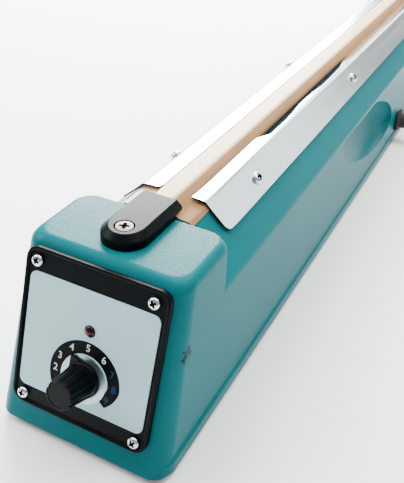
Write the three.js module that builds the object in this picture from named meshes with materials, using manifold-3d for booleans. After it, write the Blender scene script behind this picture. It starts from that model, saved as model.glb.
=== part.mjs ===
// Hand bag sealer with a long sealing bar: cast body, clamped cloth, sprung pressing arm.
// Millimetres, +Z up, the front panel faces -Y, the floor is z = 0.
import * as THREE from 'three';
import { mergeVertices } from 'three/addons/utils/BufferGeometryUtils.js';
import Module from 'manifold-3d';

const wasm = await Module();
wasm.setup();

// Driving dimensions of the casting
const footHeight = 3;
const skirtHeight = 6.4;
const skirtProud = 1;
const skirtCornerRadius = 10;
const skirtChamfer = 0.8;
const wall = 3.2;
const topWall = 3.5;
const baseHalfWidth = 42.9;
const sideLean = 3;
const shoulderHalfWidth = baseHalfWidth - sideLean;
const headHeight = 87.7;
const ridgeDrop = 1;
const ridgeHeight = headHeight - ridgeDrop;
const ridgeHalfWidth = 16.2;
const slopeFall = 21.4;
const shoulderHeight = ridgeHeight - slopeFall;
const headBack = 54.75;
const headBackLean = 3;
const headCornerRadius = 8;
const headTopRadius = 4.5;
const middleOverlap = 25;
const sealLength = 500;
const rearHeadLength = 90;
const rearHeadDraft = 3;
const overrun = 2;
const mergeDistance = 0.0001;

// Clearances
const seatGap = 0.3;
const holeGap = 0.3;
const pinGap = 0.15;

// Front panel
const panelTilt = 17.4;
const panelHeight = 49.7;
const faceDepth = 2;
const bezelSideGap = 8.6;
const bezelHalfWidth = baseHalfWidth - bezelSideGap;
const bezelHalfHeight = 36.7;
const bezelRise = 0.75;
const bezelRadius = 6;
const bezelRimWidth = 1.5;
const bezelRimHeight = 0.9;
const windowInset = 9.8;
const windowHalfWidth = bezelHalfWidth - windowInset;
const windowHalfHeight = 27;
const panelScrewInset = 5.9;
const panelScrewHalfX = bezelHalfWidth - panelScrewInset;
const panelScrewHalfV = 31.35;
const upperRightScrewShift = 1.3;
const dialSideGap = 3;
const dialHalfWidth = bezelHalfWidth - dialSideGap;
const dialHalfHeight = 26.8;
const dialDrop = 0.15;
const dialRadius = 3.5;
const dialThickness = 0.5;
const dialRecess = 0.3;
const indicatorX = 0.6;
const indicatorV = 9.3;
const indicatorRadius = 2.55;
const indicatorDome = 1.6;
const indicatorDepth = 5;
const indicatorFlangeRadius = 3.1;

// Timer knob and potentiometer
const knobX = 0.5;
const knobV = -13.2;
const knobTip = 17.2;
const knobSkirtRadius = 8.2;
const knobSkirtHeight = 1.6;
const knobLift = 0.7;
const knobBodyRadius = 7.7;
const knobTopRadius = 6.4;
const knobFluteDepth = 0.45;
const knobFlutes = 10;
const knobRecessRadius = 6.4;
const knobRecessDepth = 3;
const knobEdge = 0.6;
const pointerReach = 12;
const pointerAngle = 123.5;
const pointerRearHalfAngle = 38;
const shaftRadius = 3;
const shaftDepthInKnob = 11;
const bushingRadius = 3.6;
const bushingLength = 3.4;
const nutHalfFlats = 5;
const nutHeight = 2;
const potRadius = 8.5;
const potDepth = 9;

// Cloth, sealing bar and heating element
const barHalfWidth = 5.6;
const barHeight = 3.9;
const barRound = 1.4;
const elementHalfWidth = 1.3;
const elementThickness = 0.3;
const clothThickness = 0.35;
const clothGap = 0.1;
const clothDrop = 2.6;
const clothFront = 56.2;
const leftClothFlare = 2.9;
const rightClothFlare = 5.4;

// Side plates
const plateThickness = 0.8;
const plateGap = 0.6;
const plateFront = 72;
const plateSlopeLength = 15.9;
const plateCornerRadius = 3.5;
const plateBendRise = 0.75;
const leftLipHalfWidth = 7.8;
const rightLipHalfWidth = 10.1;
const lipRise = 1.7;
const lipRunOut = 4.3;
const lipRunOutLength = 150;
const waveDepth = 1.9;
const waveHalfLength = 24;
const firstWave = 176;
const secondWave = 262;
const plateScrewFirst = 62;
const plateScrewMiddle = 228.7;
const plateScrewDown = 8;

// End caps
const capHalfWidth = 10.9;
const capHeight = 6.5;
const capSide = 3.8;
const capBevel = 2.8;
const capFront = 21.3;
const capOverhang = 5.35;
const capOverhangLift = 2.1;
const capTunnelHalfWidth = 7.6;
const capTunnelHeight = 4.4;
const capTunnelLength = 20;
const capScrewInset = 9.2;

// Hinge, arm and grip
const hingeBehindHead = 72;
const hingeAboveHead = 14;
const openAngle = 30;
const pinRadius = 4;
const pinHeadRadius = 6;
const pinHeadLength = 2;
const pinGrooveDepth = 0.6;
const earInner = 15.2;
const earThickness = 7;
const earRadius = 10.5;
const earFoot = 24;
const knuckleRadius = 9;
const clipThickness = 1;
const clipRadius = 6.5;
const clipGapAngle = 0.5;
const armUnderside = 5.5;
const armTop = 18;
const armHalfWidth = 13;
const armTopHalfWidth = 8.5;
const armChamfer = 3;
const armWall = 2.6;
const armRearSolid = 42;
const armFrontOverHead = 15;
const armFrontSolid = 30;
const ledgeHalfWidth = 8.2;
const pressureBarHalfWidth = 10;
const pressureBarHeight = 5.4;
const rubberHalfWidth = 4.5;
const rubberGrooveDepth = 3.2;
const closedGap = 0.3;
const rubberEndGap = 1.5;
const tongueHalfWidth = 8;
const tongueLow = 1;
const tongueHigh = 11;
const gripLength = 62;
const gripHalfWidth = 16;
const gripLow = 9;
const gripHigh = 17;
const gripRound = 6;
const gripNoseLength = 9;

// Push rod, its spring and its well
const rodAhead = 22;
const rodHeadRadius = 4;
const rodRadius = 2.5;
const rodNeckRadius = 2.9;
const rodCollarRadius = 6.4;
const rodCollarLow = 4.5;
const rodCollarHigh = 3;
const wellRadius = 7;
const wellWall = 3;
const wellDepth = 16;
const wellFloor = 3;
const springCurls = 9;
const springWire = 1.2;
const springRadius = 5.1;

// Small standard pieces
const m3Radius = 1.5;
const m3HeadRadius = 2.95;
const m3HeadHeight = 2;
const m4Radius = 2;
const m4HeadRadius = 4;
const m4HeadHeight = 2.2;
const crossArm = 0.55;
const crossReachShare = 0.55;
const crossDepthShare = 0.6;

const degrees = Math.PI / 180;
const arcSteps = 4;
const roundSides = 24;
const smallSides = 10;

// Derived places
const tilt = panelTilt * degrees;
const skirtTop = footHeight + skirtHeight;
const draft = (baseHalfWidth - shoulderHalfWidth) / (shoulderHeight - skirtTop);
const slope = Math.atan2(ridgeHeight - shoulderHeight, shoulderHalfWidth - ridgeHalfWidth);
const rearHeadFront = headBack + sealLength + capOverhang;
const rearHeadBack = rearHeadFront + rearHeadLength;
const hingeY = rearHeadFront + hingeBehindHead;
const hingeZ = headHeight + hingeAboveHead;
const rodY = hingeY - rodAhead;
const plateBack = rearHeadFront - (plateFront - headBack);
const open = openAngle * degrees;
const barTop = ridgeHeight + barHeight;
const clothTop = barTop + elementThickness + clothGap + clothThickness;

// Geometry helpers
const toY = new THREE.Matrix4().makeBasis(
  new THREE.Vector3(1, 0, 0), new THREE.Vector3(0, 0, 1), new THREE.Vector3(0, -1, 0));
const toX = new THREE.Matrix4().makeBasis(
  new THREE.Vector3(0, 1, 0), new THREE.Vector3(0, 0, 1), new THREE.Vector3(1, 0, 0));

function bareIndexed(geometry) {
  const bare = new THREE.BufferGeometry();
  bare.setAttribute('position', geometry.getAttribute('position').clone());
  if (geometry.index) bare.setIndex(geometry.index.clone());
  const merged = mergeVertices(bare, mergeDistance);
  const kept = [];
  const index = merged.index.array;
  for (let i = 0; i < index.length; i += 3) {
    const [a, b, c] = [index[i], index[i + 1], index[i + 2]];
    if (a !== b && b !== c && c !== a) kept.push(a, b, c);
  }
  merged.setIndex(kept);
  return merged;
}

function signedVolume(geometry) {
  const place = geometry.getAttribute('position');
  const index = geometry.index.array;
  const [a, b, c] = [new THREE.Vector3(), new THREE.Vector3(), new THREE.Vector3()];
  let sum = 0;
  for (let i = 0; i < index.length; i += 3) {
    a.fromBufferAttribute(place, index[i]);
    b.fromBufferAttribute(place, index[i + 1]);
    c.fromBufferAttribute(place, index[i + 2]);
    sum += a.dot(b.cross(c)) / 6;
  }
  return sum;
}

function outward(geometry) {
  const closed = bareIndexed(geometry);
  if (signedVolume(closed) < 0) closed.setIndex(Array.from(closed.index.array).reverse());
  return closed;
}

function toSolid(geometry) {
  const closed = outward(geometry);
  const solid = new wasm.Manifold(new wasm.Mesh({
    numProp: 3,
    vertProperties: new Float32Array(closed.getAttribute('position').array),
    triVerts: new Uint32Array(closed.index.array),
  }));
  if (solid.isEmpty()) throw new Error('a surface is not closed');
  return solid;
}

function toGeometry(solid) {
  const mesh = solid.getMesh();
  const geometry = new THREE.BufferGeometry();
  const places = new Float32Array(mesh.vertProperties);
  geometry.setAttribute('position', new THREE.BufferAttribute(places, 3));
  geometry.setIndex(Array.from(mesh.triVerts));
  return geometry;
}

function join(...parts) {
  return toGeometry(parts.map(toSolid).reduce((sum, next) => sum.add(next)));
}

function cut(part, ...tools) {
  return toGeometry(tools.map(toSolid).reduce((left, next) => left.subtract(next), toSolid(part)));
}

function outline(points) {
  return new THREE.Shape(points.map(([x, y]) => new THREE.Vector2(x, y)));
}

function extrude(shape, depth, curveSegments = arcSteps) {
  return new THREE.ExtrudeGeometry(shape, { depth, bevelEnabled: false, curveSegments });
}

// An outline in (x, y), from height low to high
function alongZ(shape, low, high, curveSegments) {
  return extrude(shape, high - low, curveSegments).translate(0, 0, low);
}

// An outline in (x, z), from front to back
function alongY(shape, front, back, curveSegments) {
  return extrude(shape, back - front, curveSegments).applyMatrix4(toY).translate(0, back, 0);
}

// An outline in (y, z), from left to right
function alongX(shape, left, right, curveSegments) {
  return extrude(shape, right - left, curveSegments).applyMatrix4(toX).translate(left, 0, 0);
}

function block(left, right, front, back, low, high) {
  return alongZ(outline([[left, front], [right, front], [right, back], [left, back]]), low, high);
}

// A turned piece about Z, from a profile of [radius, height] that starts and ends on the axis
function turned(profile, sides = roundSides) {
  const points = profile.map(([radius, height]) => new THREE.Vector2(radius, height));
  return new THREE.LatheGeometry(points, sides).rotateX(Math.PI / 2);
}

function cylinder(radius, low, high, sides = roundSides) {
  return turned([[0, low], [radius, low], [radius, high], [0, high]], sides);
}

function roundedRectangle(halfX, halfY, radius) {
  const shape = new THREE.Shape();
  shape.absarc(halfX - radius, halfY - radius, radius, 0, Math.PI / 2);
  shape.absarc(radius - halfX, halfY - radius, radius, Math.PI / 2, Math.PI);
  shape.absarc(radius - halfX, radius - halfY, radius, Math.PI, Math.PI * 1.5);
  shape.absarc(halfX - radius, radius - halfY, radius, Math.PI * 1.5, Math.PI * 2);
  return shape;
}

// The triangles that close a flat ring, its edges running the way the ring does
function lid(ring) {
  const normal = new THREE.Vector3();
  ring.forEach((point, i) => {
    const next = ring[(i + 1) % ring.length];
    normal.add(new THREE.Vector3().crossVectors(point, next));
  });
  normal.normalize();
  const turn = new THREE.Quaternion().setFromUnitVectors(normal, new THREE.Vector3(0, 0, 1));
  const flat = ring.map((point) => {
    const turned = point.clone().applyQuaternion(turn);
    return new THREE.Vector2(turned.x, turned.y);
  });
  return THREE.ShapeUtils.triangulateShape(flat, []);
}

// A closed skin over rings of equal count, with a flat lid on each end
function skin(rings) {
  const count = rings[0].length;
  const places = rings.flat().flatMap((point) => [point.x, point.y, point.z]);
  const faces = [];
  for (let r = 0; r + 1 < rings.length; r++) {
    for (let i = 0; i < count; i++) {
      const a = r * count + i;
      const b = r * count + (i + 1) % count;
      faces.push(a, b, b + count, a, b + count, a + count);
    }
  }
  for (const [a, b, c] of lid(rings[0])) faces.push(a, c, b);
  const last = (rings.length - 1) * count;
  for (const [a, b, c] of lid(rings[rings.length - 1])) faces.push(last + a, last + b, last + c);
  const geometry = new THREE.BufferGeometry();
  geometry.setAttribute('position', new THREE.Float32BufferAttribute(places, 3));
  geometry.setIndex(faces);
  return outward(geometry);
}

// A level rounded rectangle as a ring of points
function ring(half, front, back, radius, z) {
  const points = [];
  const corners = [[half, back, 0], [-half, back, 1], [-half, front, 2], [half, front, 3]];
  for (const [x, y, quarter] of corners) {
    const centreX = x - Math.sign(x) * radius;
    const centreY = y + (y === back ? -radius : radius);
    for (let i = 0; i <= arcSteps; i++) {
      const angle = (quarter + i / arcSteps) * Math.PI / 2;
      points.push(new THREE.Vector3(
        centreX + radius * Math.cos(angle), centreY + radius * Math.sin(angle), z));
    }
  }
  return points;
}

const sideAt = (z) => baseHalfWidth - (z - skirtTop) * draft;
const faceAt = (z, inset = 0) =>
  (faceDepth + inset + (z - panelHeight) * Math.sin(tilt)) / Math.cos(tilt);
const headBackAt = (z) => headBack + (z - headHeight) * Math.tan(headBackLean * degrees);
const rearFrontAt = (z) => rearHeadFront - headBackAt(z) + headBack;
const rearBackAt = (z) => rearHeadBack - (z - skirtTop) * Math.tan(rearHeadDraft * degrees);

// Heights of a head's rings, with the inset of its rounded top edge at each
function headLevels(low, high, radius) {
  const levels = [[low, 0]];
  for (let i = 0; i <= arcSteps; i++) {
    const angle = i / arcSteps * Math.PI / 2;
    levels.push([high - radius + radius * Math.sin(angle), radius * (1 - Math.cos(angle))]);
  }
  return levels;
}

function frontHead(inset, low, high) {
  const crispShare = 0.2;
  return skin(headLevels(low, high, headTopRadius).map(([z, round]) => ring(
    sideAt(z) - inset - round, faceAt(z, inset) + round,
    headBackAt(z) - inset - round * crispShare, headCornerRadius - inset, z)));
}

function rearHead(inset, low, high) {
  const crispShare = 0.2;
  return skin(headLevels(low, high, headTopRadius).map(([z, round]) => ring(
    sideAt(z) - inset - round, rearFrontAt(z) + inset + round * crispShare,
    rearBackAt(z) - inset - round, headCornerRadius - inset, z)));
}

// The long ridged middle, or its hollow when inset
function middle(inset, topInset, low, front, back) {
  const lean = (Math.PI / 2 - slope) / 2;
  const shoulderX = shoulderHalfWidth - inset;
  const shoulderZ = shoulderHeight - inset * Math.tan(lean);
  const ridgeX = ridgeHalfWidth - topInset * Math.tan(slope / 2);
  const ridgeZ = ridgeHeight - topInset;
  const foot = sideAt(low) - inset;
  return alongY(outline([
    [-foot, low], [foot, low], [shoulderX, shoulderZ], [ridgeX, ridgeZ],
    [-ridgeX, ridgeZ], [-shoulderX, shoulderZ]]), front, back);
}

// The side scoop: a long ellipsoid falling to the rear, with a flat roof just under the shoulder
const scoopPlaceShare = 0.4425;
const scoopY = headBack + sealLength * scoopPlaceShare;
const scoopZ = 49.5;
const scoopDepth = 9;
const scoopRadiusX = 15;
const scoopRadiusY = 84;
const scoopRadiusZ = 21;
const scoopTilt = -13.5;
const scoopRoofDrop = 0.8;
function scoop(side, grow) {
  const ball = new THREE.SphereGeometry(1, 32, 12).rotateX(Math.PI / 2);
  ball.scale(scoopRadiusX + grow, scoopRadiusY + grow, scoopRadiusZ + grow);
  const x = sideAt(scoopZ) + scoopRadiusX - scoopDepth;
  ball.rotateX(scoopTilt * degrees).translate(side * x, scoopY, scoopZ);
  const roof = shoulderHeight - scoopRoofDrop + grow;
  const reach = scoopRadiusY * 2;
  return cut(ball, block(-reach, reach, scoopY - reach, scoopY + reach, roof, roof + reach));
}

// Panel frame: X across, Y up the panel, Z out of it
const panelMatrix = new THREE.Matrix4()
  .makeRotationX(Math.PI / 2 - tilt)
  .setPosition(0, 0, panelHeight);
const onPanel = (geometry) => geometry.applyMatrix4(panelMatrix);

const panelScrews = [
  ['upper_left', -panelScrewHalfX, panelScrewHalfV],
  ['upper_right', panelScrewHalfX - upperRightScrewShift, panelScrewHalfV],
  ['lower_left', -panelScrewHalfX, -panelScrewHalfV],
  ['lower_right', panelScrewHalfX, -panelScrewHalfV]];

// Slope frame on one side: X up the slope towards the ridge, Z out of the slope, Y along
function slopeMatrix(side) {
  const up = new THREE.Vector3(-side * Math.cos(slope), 0, Math.sin(slope));
  const out = new THREE.Vector3(side * Math.sin(slope), 0, Math.cos(slope));
  const along = new THREE.Vector3().crossVectors(out, up);
  const matrix = new THREE.Matrix4().makeBasis(up, along, out);
  return matrix.setPosition(side * ridgeHalfWidth, 0, ridgeHeight);
}

// Plate screws: three stations along the bar
const plateScrewStations = [
  headBack + plateScrewFirst, headBack + plateScrewMiddle, rearHeadFront - plateScrewFirst];

const capScrewFrontY = capFront + capScrewInset;
const capScrewRearY = headBack + rearHeadFront - capScrewFrontY;
const slotFront = 40;
const slotLength = 7;
const slotHalfWidth = 3;
const mirrorY = (y) => headBack + rearHeadFront - y;

// Base plate, its screws and the feet
const basePlateThickness = 1.5;
const basePlateInset = 2.2;
const basePlateTop = footHeight + basePlateThickness;
const bossRadius = 4.5;
const bossHeight = 16;
const bossInset = 6.2;
const baseScrewLength = 9;
const baseScrewEndInset = 34;
const baseScrewHalfX = baseHalfWidth - bossInset;
const baseScrewFront = faceAt(skirtTop) + baseScrewEndInset;
const baseScrewRear = rearHeadBack - baseScrewEndInset;
const baseScrews = [
  ['front_left', -baseScrewHalfX, baseScrewFront], ['front_right', baseScrewHalfX, baseScrewFront],
  ['rear_left', -baseScrewHalfX, baseScrewRear], ['rear_right', baseScrewHalfX, baseScrewRear]];

// Cord inlet bush low on the right wall
const glandAheadOfHead = 176.1;
const glandY = rearHeadFront - glandAheadOfHead;
const glandZ = 19;
const glandFlangeRadius = 9;
const glandFlange = 2.5;
const glandSleeveRadius = 6;
const glandTipRadius = 4.6;
const glandReach = 24;
const glandNeckRadius = 5;
const glandTail = 6;
const cordHoleRadius = 3.2;

function bodyCasting() {
  const skirtFront = faceAt(skirtTop) - skirtProud;
  const skirtBack = rearHeadBack + skirtProud;
  const skirtHalf = baseHalfWidth + skirtProud;
  const skirt = skin([
    [footHeight, 0], [skirtTop - skirtChamfer, 0], [skirtTop, skirtChamfer],
  ].map(([z, inset]) => ring(
    skirtHalf - inset, skirtFront + inset, skirtBack - inset, skirtCornerRadius, z)));
  const low = footHeight + skirtChamfer;
  const outside = join(
    skirt, frontHead(0, low, headHeight), rearHead(0, low, headHeight),
    middle(0, 0, low, headBack - middleOverlap, rearHeadFront + middleOverlap));
  const hollow = cut(join(
    frontHead(wall, -overrun, headHeight - topWall),
    rearHead(wall, -overrun, headHeight - topWall),
    middle(wall, topWall, -overrun, headBack - middleOverlap, rearHeadFront + middleOverlap)),
  scoop(1, wall), scoop(-1, wall));
  const plateRecess = skin([footHeight - overrun, basePlateTop].map((z) => ring(
    skirtHalf - basePlateInset, skirtFront + basePlateInset, skirtBack - basePlateInset,
    skirtCornerRadius - basePlateInset, z)));
  const bosses = baseScrews.map(([, x, y]) =>
    cylinder(bossRadius, basePlateTop, basePlateTop + bossHeight, smallSides).translate(x, y, 0));
  const well = cylinder(wellRadius + wellWall, headHeight - wellDepth - wellFloor,
    headHeight - topWall / 2).translate(0, rodY, 0);
  const ears = [-1, 1].map((side) => {
    const shape = new THREE.Shape();
    shape.moveTo(hingeY - earFoot / 2, headHeight - topWall / 2);
    shape.lineTo(hingeY + earFoot / 2, headHeight - topWall / 2);
    shape.lineTo(hingeY + earRadius, hingeZ);
    shape.absarc(hingeY, hingeZ, earRadius, 0, Math.PI);
    const left = side > 0 ? earInner : -earInner - earThickness;
    return alongX(shape, left, left + earThickness, arcSteps * 2);
  });
  const window = onPanel(alongZ(roundedRectangle(windowHalfWidth, windowHalfHeight, wall),
    -faceDepth - wall * 2, 0));
  const panelHoles = panelScrews.map(([, x, v]) => onPanel(
    cylinder(m3Radius + holeGap, -faceDepth - wall * 2, 0, smallSides).translate(x, v, 0)));
  const plateHoles = [-1, 1].flatMap((side) => plateScrewStations.map((y) =>
    cylinder(m3Radius + holeGap, -topWall * 2, overrun, smallSides)
      .translate(-plateScrewDown, 0, 0).applyMatrix4(slopeMatrix(side)).translate(0, y, 0)));
  const capHoles = [capScrewFrontY, capScrewRearY].map((y) =>
    cylinder(m4Radius + holeGap, headHeight - topWall * 2, headHeight + overrun, smallSides)
      .translate(0, y, 0));
  const slots = [slotFront, mirrorY(slotFront + slotLength)].map((front) => block(
    -slotHalfWidth, slotHalfWidth, front, front + slotLength,
    headHeight - topWall * 2, headHeight + overrun));
  const wellHole = turned([
    [0, headHeight - wellDepth - wellFloor - overrun],
    [rodRadius + holeGap, headHeight - wellDepth - wellFloor - overrun],
    [rodRadius + holeGap, headHeight - wellDepth],
    [wellRadius, headHeight - wellDepth],
    [wellRadius, headHeight + overrun],
    [0, headHeight + overrun]]).translate(0, rodY, 0);
  const pinHole = cylinder(pinRadius + pinGap, -armHalfWidth * 2, armHalfWidth * 2)
    .rotateY(Math.PI / 2).translate(0, hingeY, hingeZ);
  const bossHoles = baseScrews.map(([, x, y]) =>
    cylinder(m3Radius + holeGap, footHeight, basePlateTop + baseScrewLength, smallSides)
      .translate(x, y, 0));
  const glandHole = cylinder(glandNeckRadius + holeGap, -wall * 2, wall * 2)
    .rotateY(Math.PI / 2).translate(sideAt(glandZ), glandY, glandZ);
  const shell = cut(outside, hollow, scoop(1, 0), scoop(-1, 0), plateRecess);
  return cut(join(shell, well, ...ears, ...bosses), window, ...panelHoles, ...plateHoles,
    ...capHoles, ...slots, wellHole, pinHole, ...bossHoles, glandHole);
}

function basePlate() {
  const inset = basePlateInset + seatGap;
  const halfX = baseHalfWidth + skirtProud - inset;
  const front = faceAt(skirtTop) - skirtProud + inset;
  const back = rearHeadBack + skirtProud - inset;
  const sheet = skin([footHeight, basePlateTop].map((z) =>
    ring(halfX, front, back, skirtCornerRadius - inset, z)));
  const holes = baseScrews.map(([, x, y]) =>
    cylinder(m3Radius + holeGap, 0, basePlateTop * 2, smallSides).translate(x, y, 0));
  const footHoles = feet.map(([, x, y]) =>
    cylinder(footStemRadius + holeGap, 0, basePlateTop * 2, smallSides).translate(x, y, 0));
  return cut(sheet, ...holes, ...footHoles);
}

// Push-in rubber feet
const footRadius = 7.5;
const footStemRadius = 2.5;
const footBarbRadius = 4;
const footBarbHeight = 3;
const footEdge = 0.8;
const footInsetX = 15;
const footInsetY = 18;
const footHalfX = baseHalfWidth - footInsetX;
const footFrontY = faceAt(skirtTop) + footInsetY;
const footRearY = rearHeadBack - footInsetY;
const feet = [
  ['foot_front_left', -footHalfX, footFrontY], ['foot_front_right', footHalfX, footFrontY],
  ['foot_rear_left', -footHalfX, footRearY], ['foot_rear_right', footHalfX, footRearY]];

function foot(x, y) {
  return turned([
    [0, 0], [footRadius - footEdge, 0], [footRadius, footEdge], [footRadius, footHeight],
    [footStemRadius, footHeight], [footStemRadius, basePlateTop], [footBarbRadius, basePlateTop],
    [footStemRadius, basePlateTop + footBarbHeight], [0, basePlateTop + footBarbHeight],
  ], 16).translate(x, y, 0);
}

// A pan-head or countersunk cross-recessed screw, its head's seat at z = 0 and its shank below
function screw(radius, headRadius, rise, length, countersunk = false, sides = smallSides) {
  const domeShare = 0.72;
  const domeRiseShare = 0.86;
  const profile = countersunk
    ? [[0, -length], [radius, -length], [radius, -rise], [headRadius, 0], [0, 0]]
    : [[0, -length], [radius, -length], [radius, 0], [headRadius, 0],
      [headRadius, rise * (1 - domeShare)], [headRadius * domeShare, rise * domeRiseShare],
      [0, rise]];
  const top = countersunk ? 0 : rise;
  const reach = headRadius * crossReachShare;
  const depth = rise * crossDepthShare;
  const arms = [[reach, crossArm / 2], [crossArm / 2, reach]].map(([x, y]) =>
    block(-x, x, -y, y, top - depth, top + depth));
  return cut(turned(profile, sides), ...arms);
}

function bezel() {
  const outerShape = roundedRectangle(bezelHalfWidth, bezelHalfHeight, bezelRadius);
  const fieldShape = roundedRectangle(bezelHalfWidth - bezelRimWidth,
    bezelHalfHeight - bezelRimWidth, bezelRadius - bezelRimWidth);
  const frame = alongZ(outerShape, seatGap - faceDepth, bezelRimHeight).translate(0, bezelRise, 0);
  const field = alongZ(fieldShape, 0, bezelRimHeight * 2).translate(0, bezelRise, 0);
  const recess = alongZ(roundedRectangle(dialHalfWidth + seatGap, dialHalfHeight + seatGap,
    dialRadius), -dialRecess, bezelRimHeight).translate(0, -dialDrop, 0);
  const reach = faceDepth * 2;
  const collar = alongZ(roundedRectangle(windowHalfWidth - seatGap, windowHalfHeight - seatGap,
    wall - seatGap), -faceDepth * 2, -faceDepth / 2);
  const collarHole = alongZ(roundedRectangle(windowHalfWidth - wall, windowHalfHeight - wall,
    wall / 2), -faceDepth * 2 - overrun, -faceDepth);
  const holes = panelScrews.map(([, x, v]) =>
    cylinder(m3Radius + holeGap, -reach, reach, smallSides).translate(x, v, 0));
  const potHole = cylinder(bushingRadius + holeGap, -reach, reach).translate(knobX, knobV, 0);
  const lampHole = cylinder(indicatorRadius + pinGap, -reach, reach)
    .translate(indicatorX, indicatorV, 0);
  return cut(join(cut(frame, field, recess), cut(collar, collarHole)), ...holes, potHole, lampHole);
}

function dialPlate() {
  const plate = alongZ(roundedRectangle(dialHalfWidth, dialHalfHeight, dialRadius),
    0, dialThickness).translate(0, -dialDrop, 0);
  const reach = dialThickness * 2;
  return cut(plate,
    cylinder(bushingRadius + holeGap, -reach, reach).translate(knobX, knobV, 0),
    cylinder(indicatorRadius + pinGap, -reach, reach).translate(indicatorX, indicatorV, 0));
}

function indicator() {
  const radius = indicatorRadius;
  const dome = [0, 1, 2, 3].map((i) => {
    const angle = i / 3 * Math.PI / 2;
    return [radius * Math.cos(angle), indicatorDome * Math.sin(angle) + dialRecess];
  });
  return turned([
    [0, -faceDepth - indicatorDepth], [indicatorFlangeRadius, -faceDepth - indicatorDepth],
    [indicatorFlangeRadius, -faceDepth], [radius, -faceDepth], ...dome], 16);
}

function knob() {
  const low = knobLift;
  const skirtTopW = low + knobSkirtHeight;
  const steps = 40;
  const flutedRing = (radius, depth, w) => Array.from({ length: steps }, (_, i) => {
    const angle = i / steps * Math.PI * 2;
    const wave = Math.max(0, Math.cos(angle * knobFlutes));
    const r = radius - depth * wave;
    return new THREE.Vector3(r * Math.cos(angle), r * Math.sin(angle), w);
  });
  const body = skin([
    flutedRing(knobBodyRadius, 0, skirtTopW - knobEdge),
    flutedRing(knobBodyRadius, knobFluteDepth, skirtTopW + knobEdge),
    flutedRing(knobTopRadius, knobFluteDepth, knobTip - knobEdge),
    flutedRing(knobTopRadius - knobEdge, 0, knobTip)]);
  const skirt = turned([
    [0, low], [knobSkirtRadius, low], [knobSkirtRadius, skirtTopW - knobEdge],
    [knobSkirtRadius - knobEdge, skirtTopW], [0, skirtTopW]], 32);
  const half = pointerRearHalfAngle * degrees;
  const rearShare = 0.94;
  const rearX = knobSkirtRadius * rearShare * Math.cos(half);
  const rearY = knobSkirtRadius * rearShare * Math.sin(half);
  const pointer = alongZ(outline([[0, -rearY], [rearX, -rearY], [pointerReach, 0],
    [rearX, rearY], [0, rearY]]), low, skirtTopW - knobEdge);
  const recess = cylinder(knobRecessRadius, -overrun, low + knobRecessDepth);
  const bore = cylinder(shaftRadius + pinGap, -overrun, low + shaftDepthInKnob + seatGap);
  return cut(join(body, skirt, pointer), recess, bore).rotateZ(pointerAngle * degrees);
}

function potentiometer() {
  const low = -faceDepth * 2 - potDepth;
  return turned([
    [0, low], [potRadius, low], [potRadius, -faceDepth - seatGap],
    [bushingRadius, -faceDepth - seatGap], [bushingRadius, bushingLength],
    [shaftRadius + pinGap, bushingLength], [shaftRadius + pinGap, low + overrun],
    [0, low + overrun]]);
}

function potShaft() {
  const low = -faceDepth * 2 - potDepth + overrun + seatGap;
  return cylinder(shaftRadius, low, knobLift + shaftDepthInKnob);
}

function potNut() {
  const across = nutHalfFlats / Math.cos(Math.PI / 6);
  const low = dialThickness + seatGap - dialRecess;
  return cut(cylinder(across, low, low + nutHeight, 6),
    cylinder(bushingRadius + pinGap, -overrun, nutHeight * 2));
}

// Timer electronics behind the panel, in the panel frame
const boardTop = -faceDepth * 2 - potDepth - seatGap;
const boardThickness = 1.6;
const boardSideGap = 2.5;
const boardHalfX = windowHalfWidth - boardSideGap;
const boardHalfV = 24;
const boardLow = boardTop - boardThickness;
const relayHalfX = 7.6;
const relayHalfV = 9.5;
const relayHeight = 15;
const relayX = -12;
const relayV = -8;
const capacitorRadius = 5;
const capacitorHeight = 12;
const capacitorX = 12;
const capacitorV = -13;
const chipHalfX = 5;
const chipHalfV = 3.2;
const chipHeight = 3.4;
const chipX = 9;
const chipV = 2;
const connectorHalfX = 13;
const connectorHalfV = 4;
const connectorHeight = 9;
const connectorV = 17;

function timerBoard() {
  const boxOn = (x, v, halfX, halfV, low, high) =>
    block(x - halfX, x + halfX, v - halfV, v + halfV, low, high);
  const middleLevel = (boardLow + boardTop) / 2;
  return join(
    boxOn(0, 0, boardHalfX, boardHalfV, boardLow, boardTop),
    boxOn(relayX, relayV, relayHalfX, relayHalfV, boardLow - relayHeight, middleLevel),
    cylinder(capacitorRadius, boardLow - capacitorHeight, middleLevel, 16)
      .translate(capacitorX, capacitorV, 0),
    boxOn(chipX, chipV, chipHalfX, chipHalfV, boardLow - chipHeight, middleLevel),
    boxOn(0, connectorV, connectorHalfX, connectorHalfV, boardLow - connectorHeight, middleLevel));
}

// Middle pieces: bar, element, cloth and plates
function sealingBar() {
  const half = barHalfWidth;
  const shape = new THREE.Shape();
  shape.moveTo(-half, ridgeHeight);
  shape.lineTo(half, ridgeHeight);
  shape.absarc(half - barRound, barTop - barRound, barRound, 0, Math.PI / 2);
  shape.absarc(barRound - half, barTop - barRound, barRound, Math.PI / 2, Math.PI);
  return alongY(shape, headBack + seatGap, rearHeadFront - seatGap, 3);
}

const elementFront = slotFront + slotLength / 2;
const elementLegDrop = 18;
const elementLegLow = headHeight - topWall - elementLegDrop;
function heatingElement() {
  const t = elementThickness;
  const front = elementFront;
  const back = mirrorY(front);
  const high = barTop + t;
  return alongX(outline([
    [front, elementLegLow], [front + t, elementLegLow], [front + t, high - t],
    [back - t, high - t], [back - t, elementLegLow], [back, elementLegLow],
    [back, high], [front, high]]), -elementHalfWidth, elementHalfWidth);
}

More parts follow.
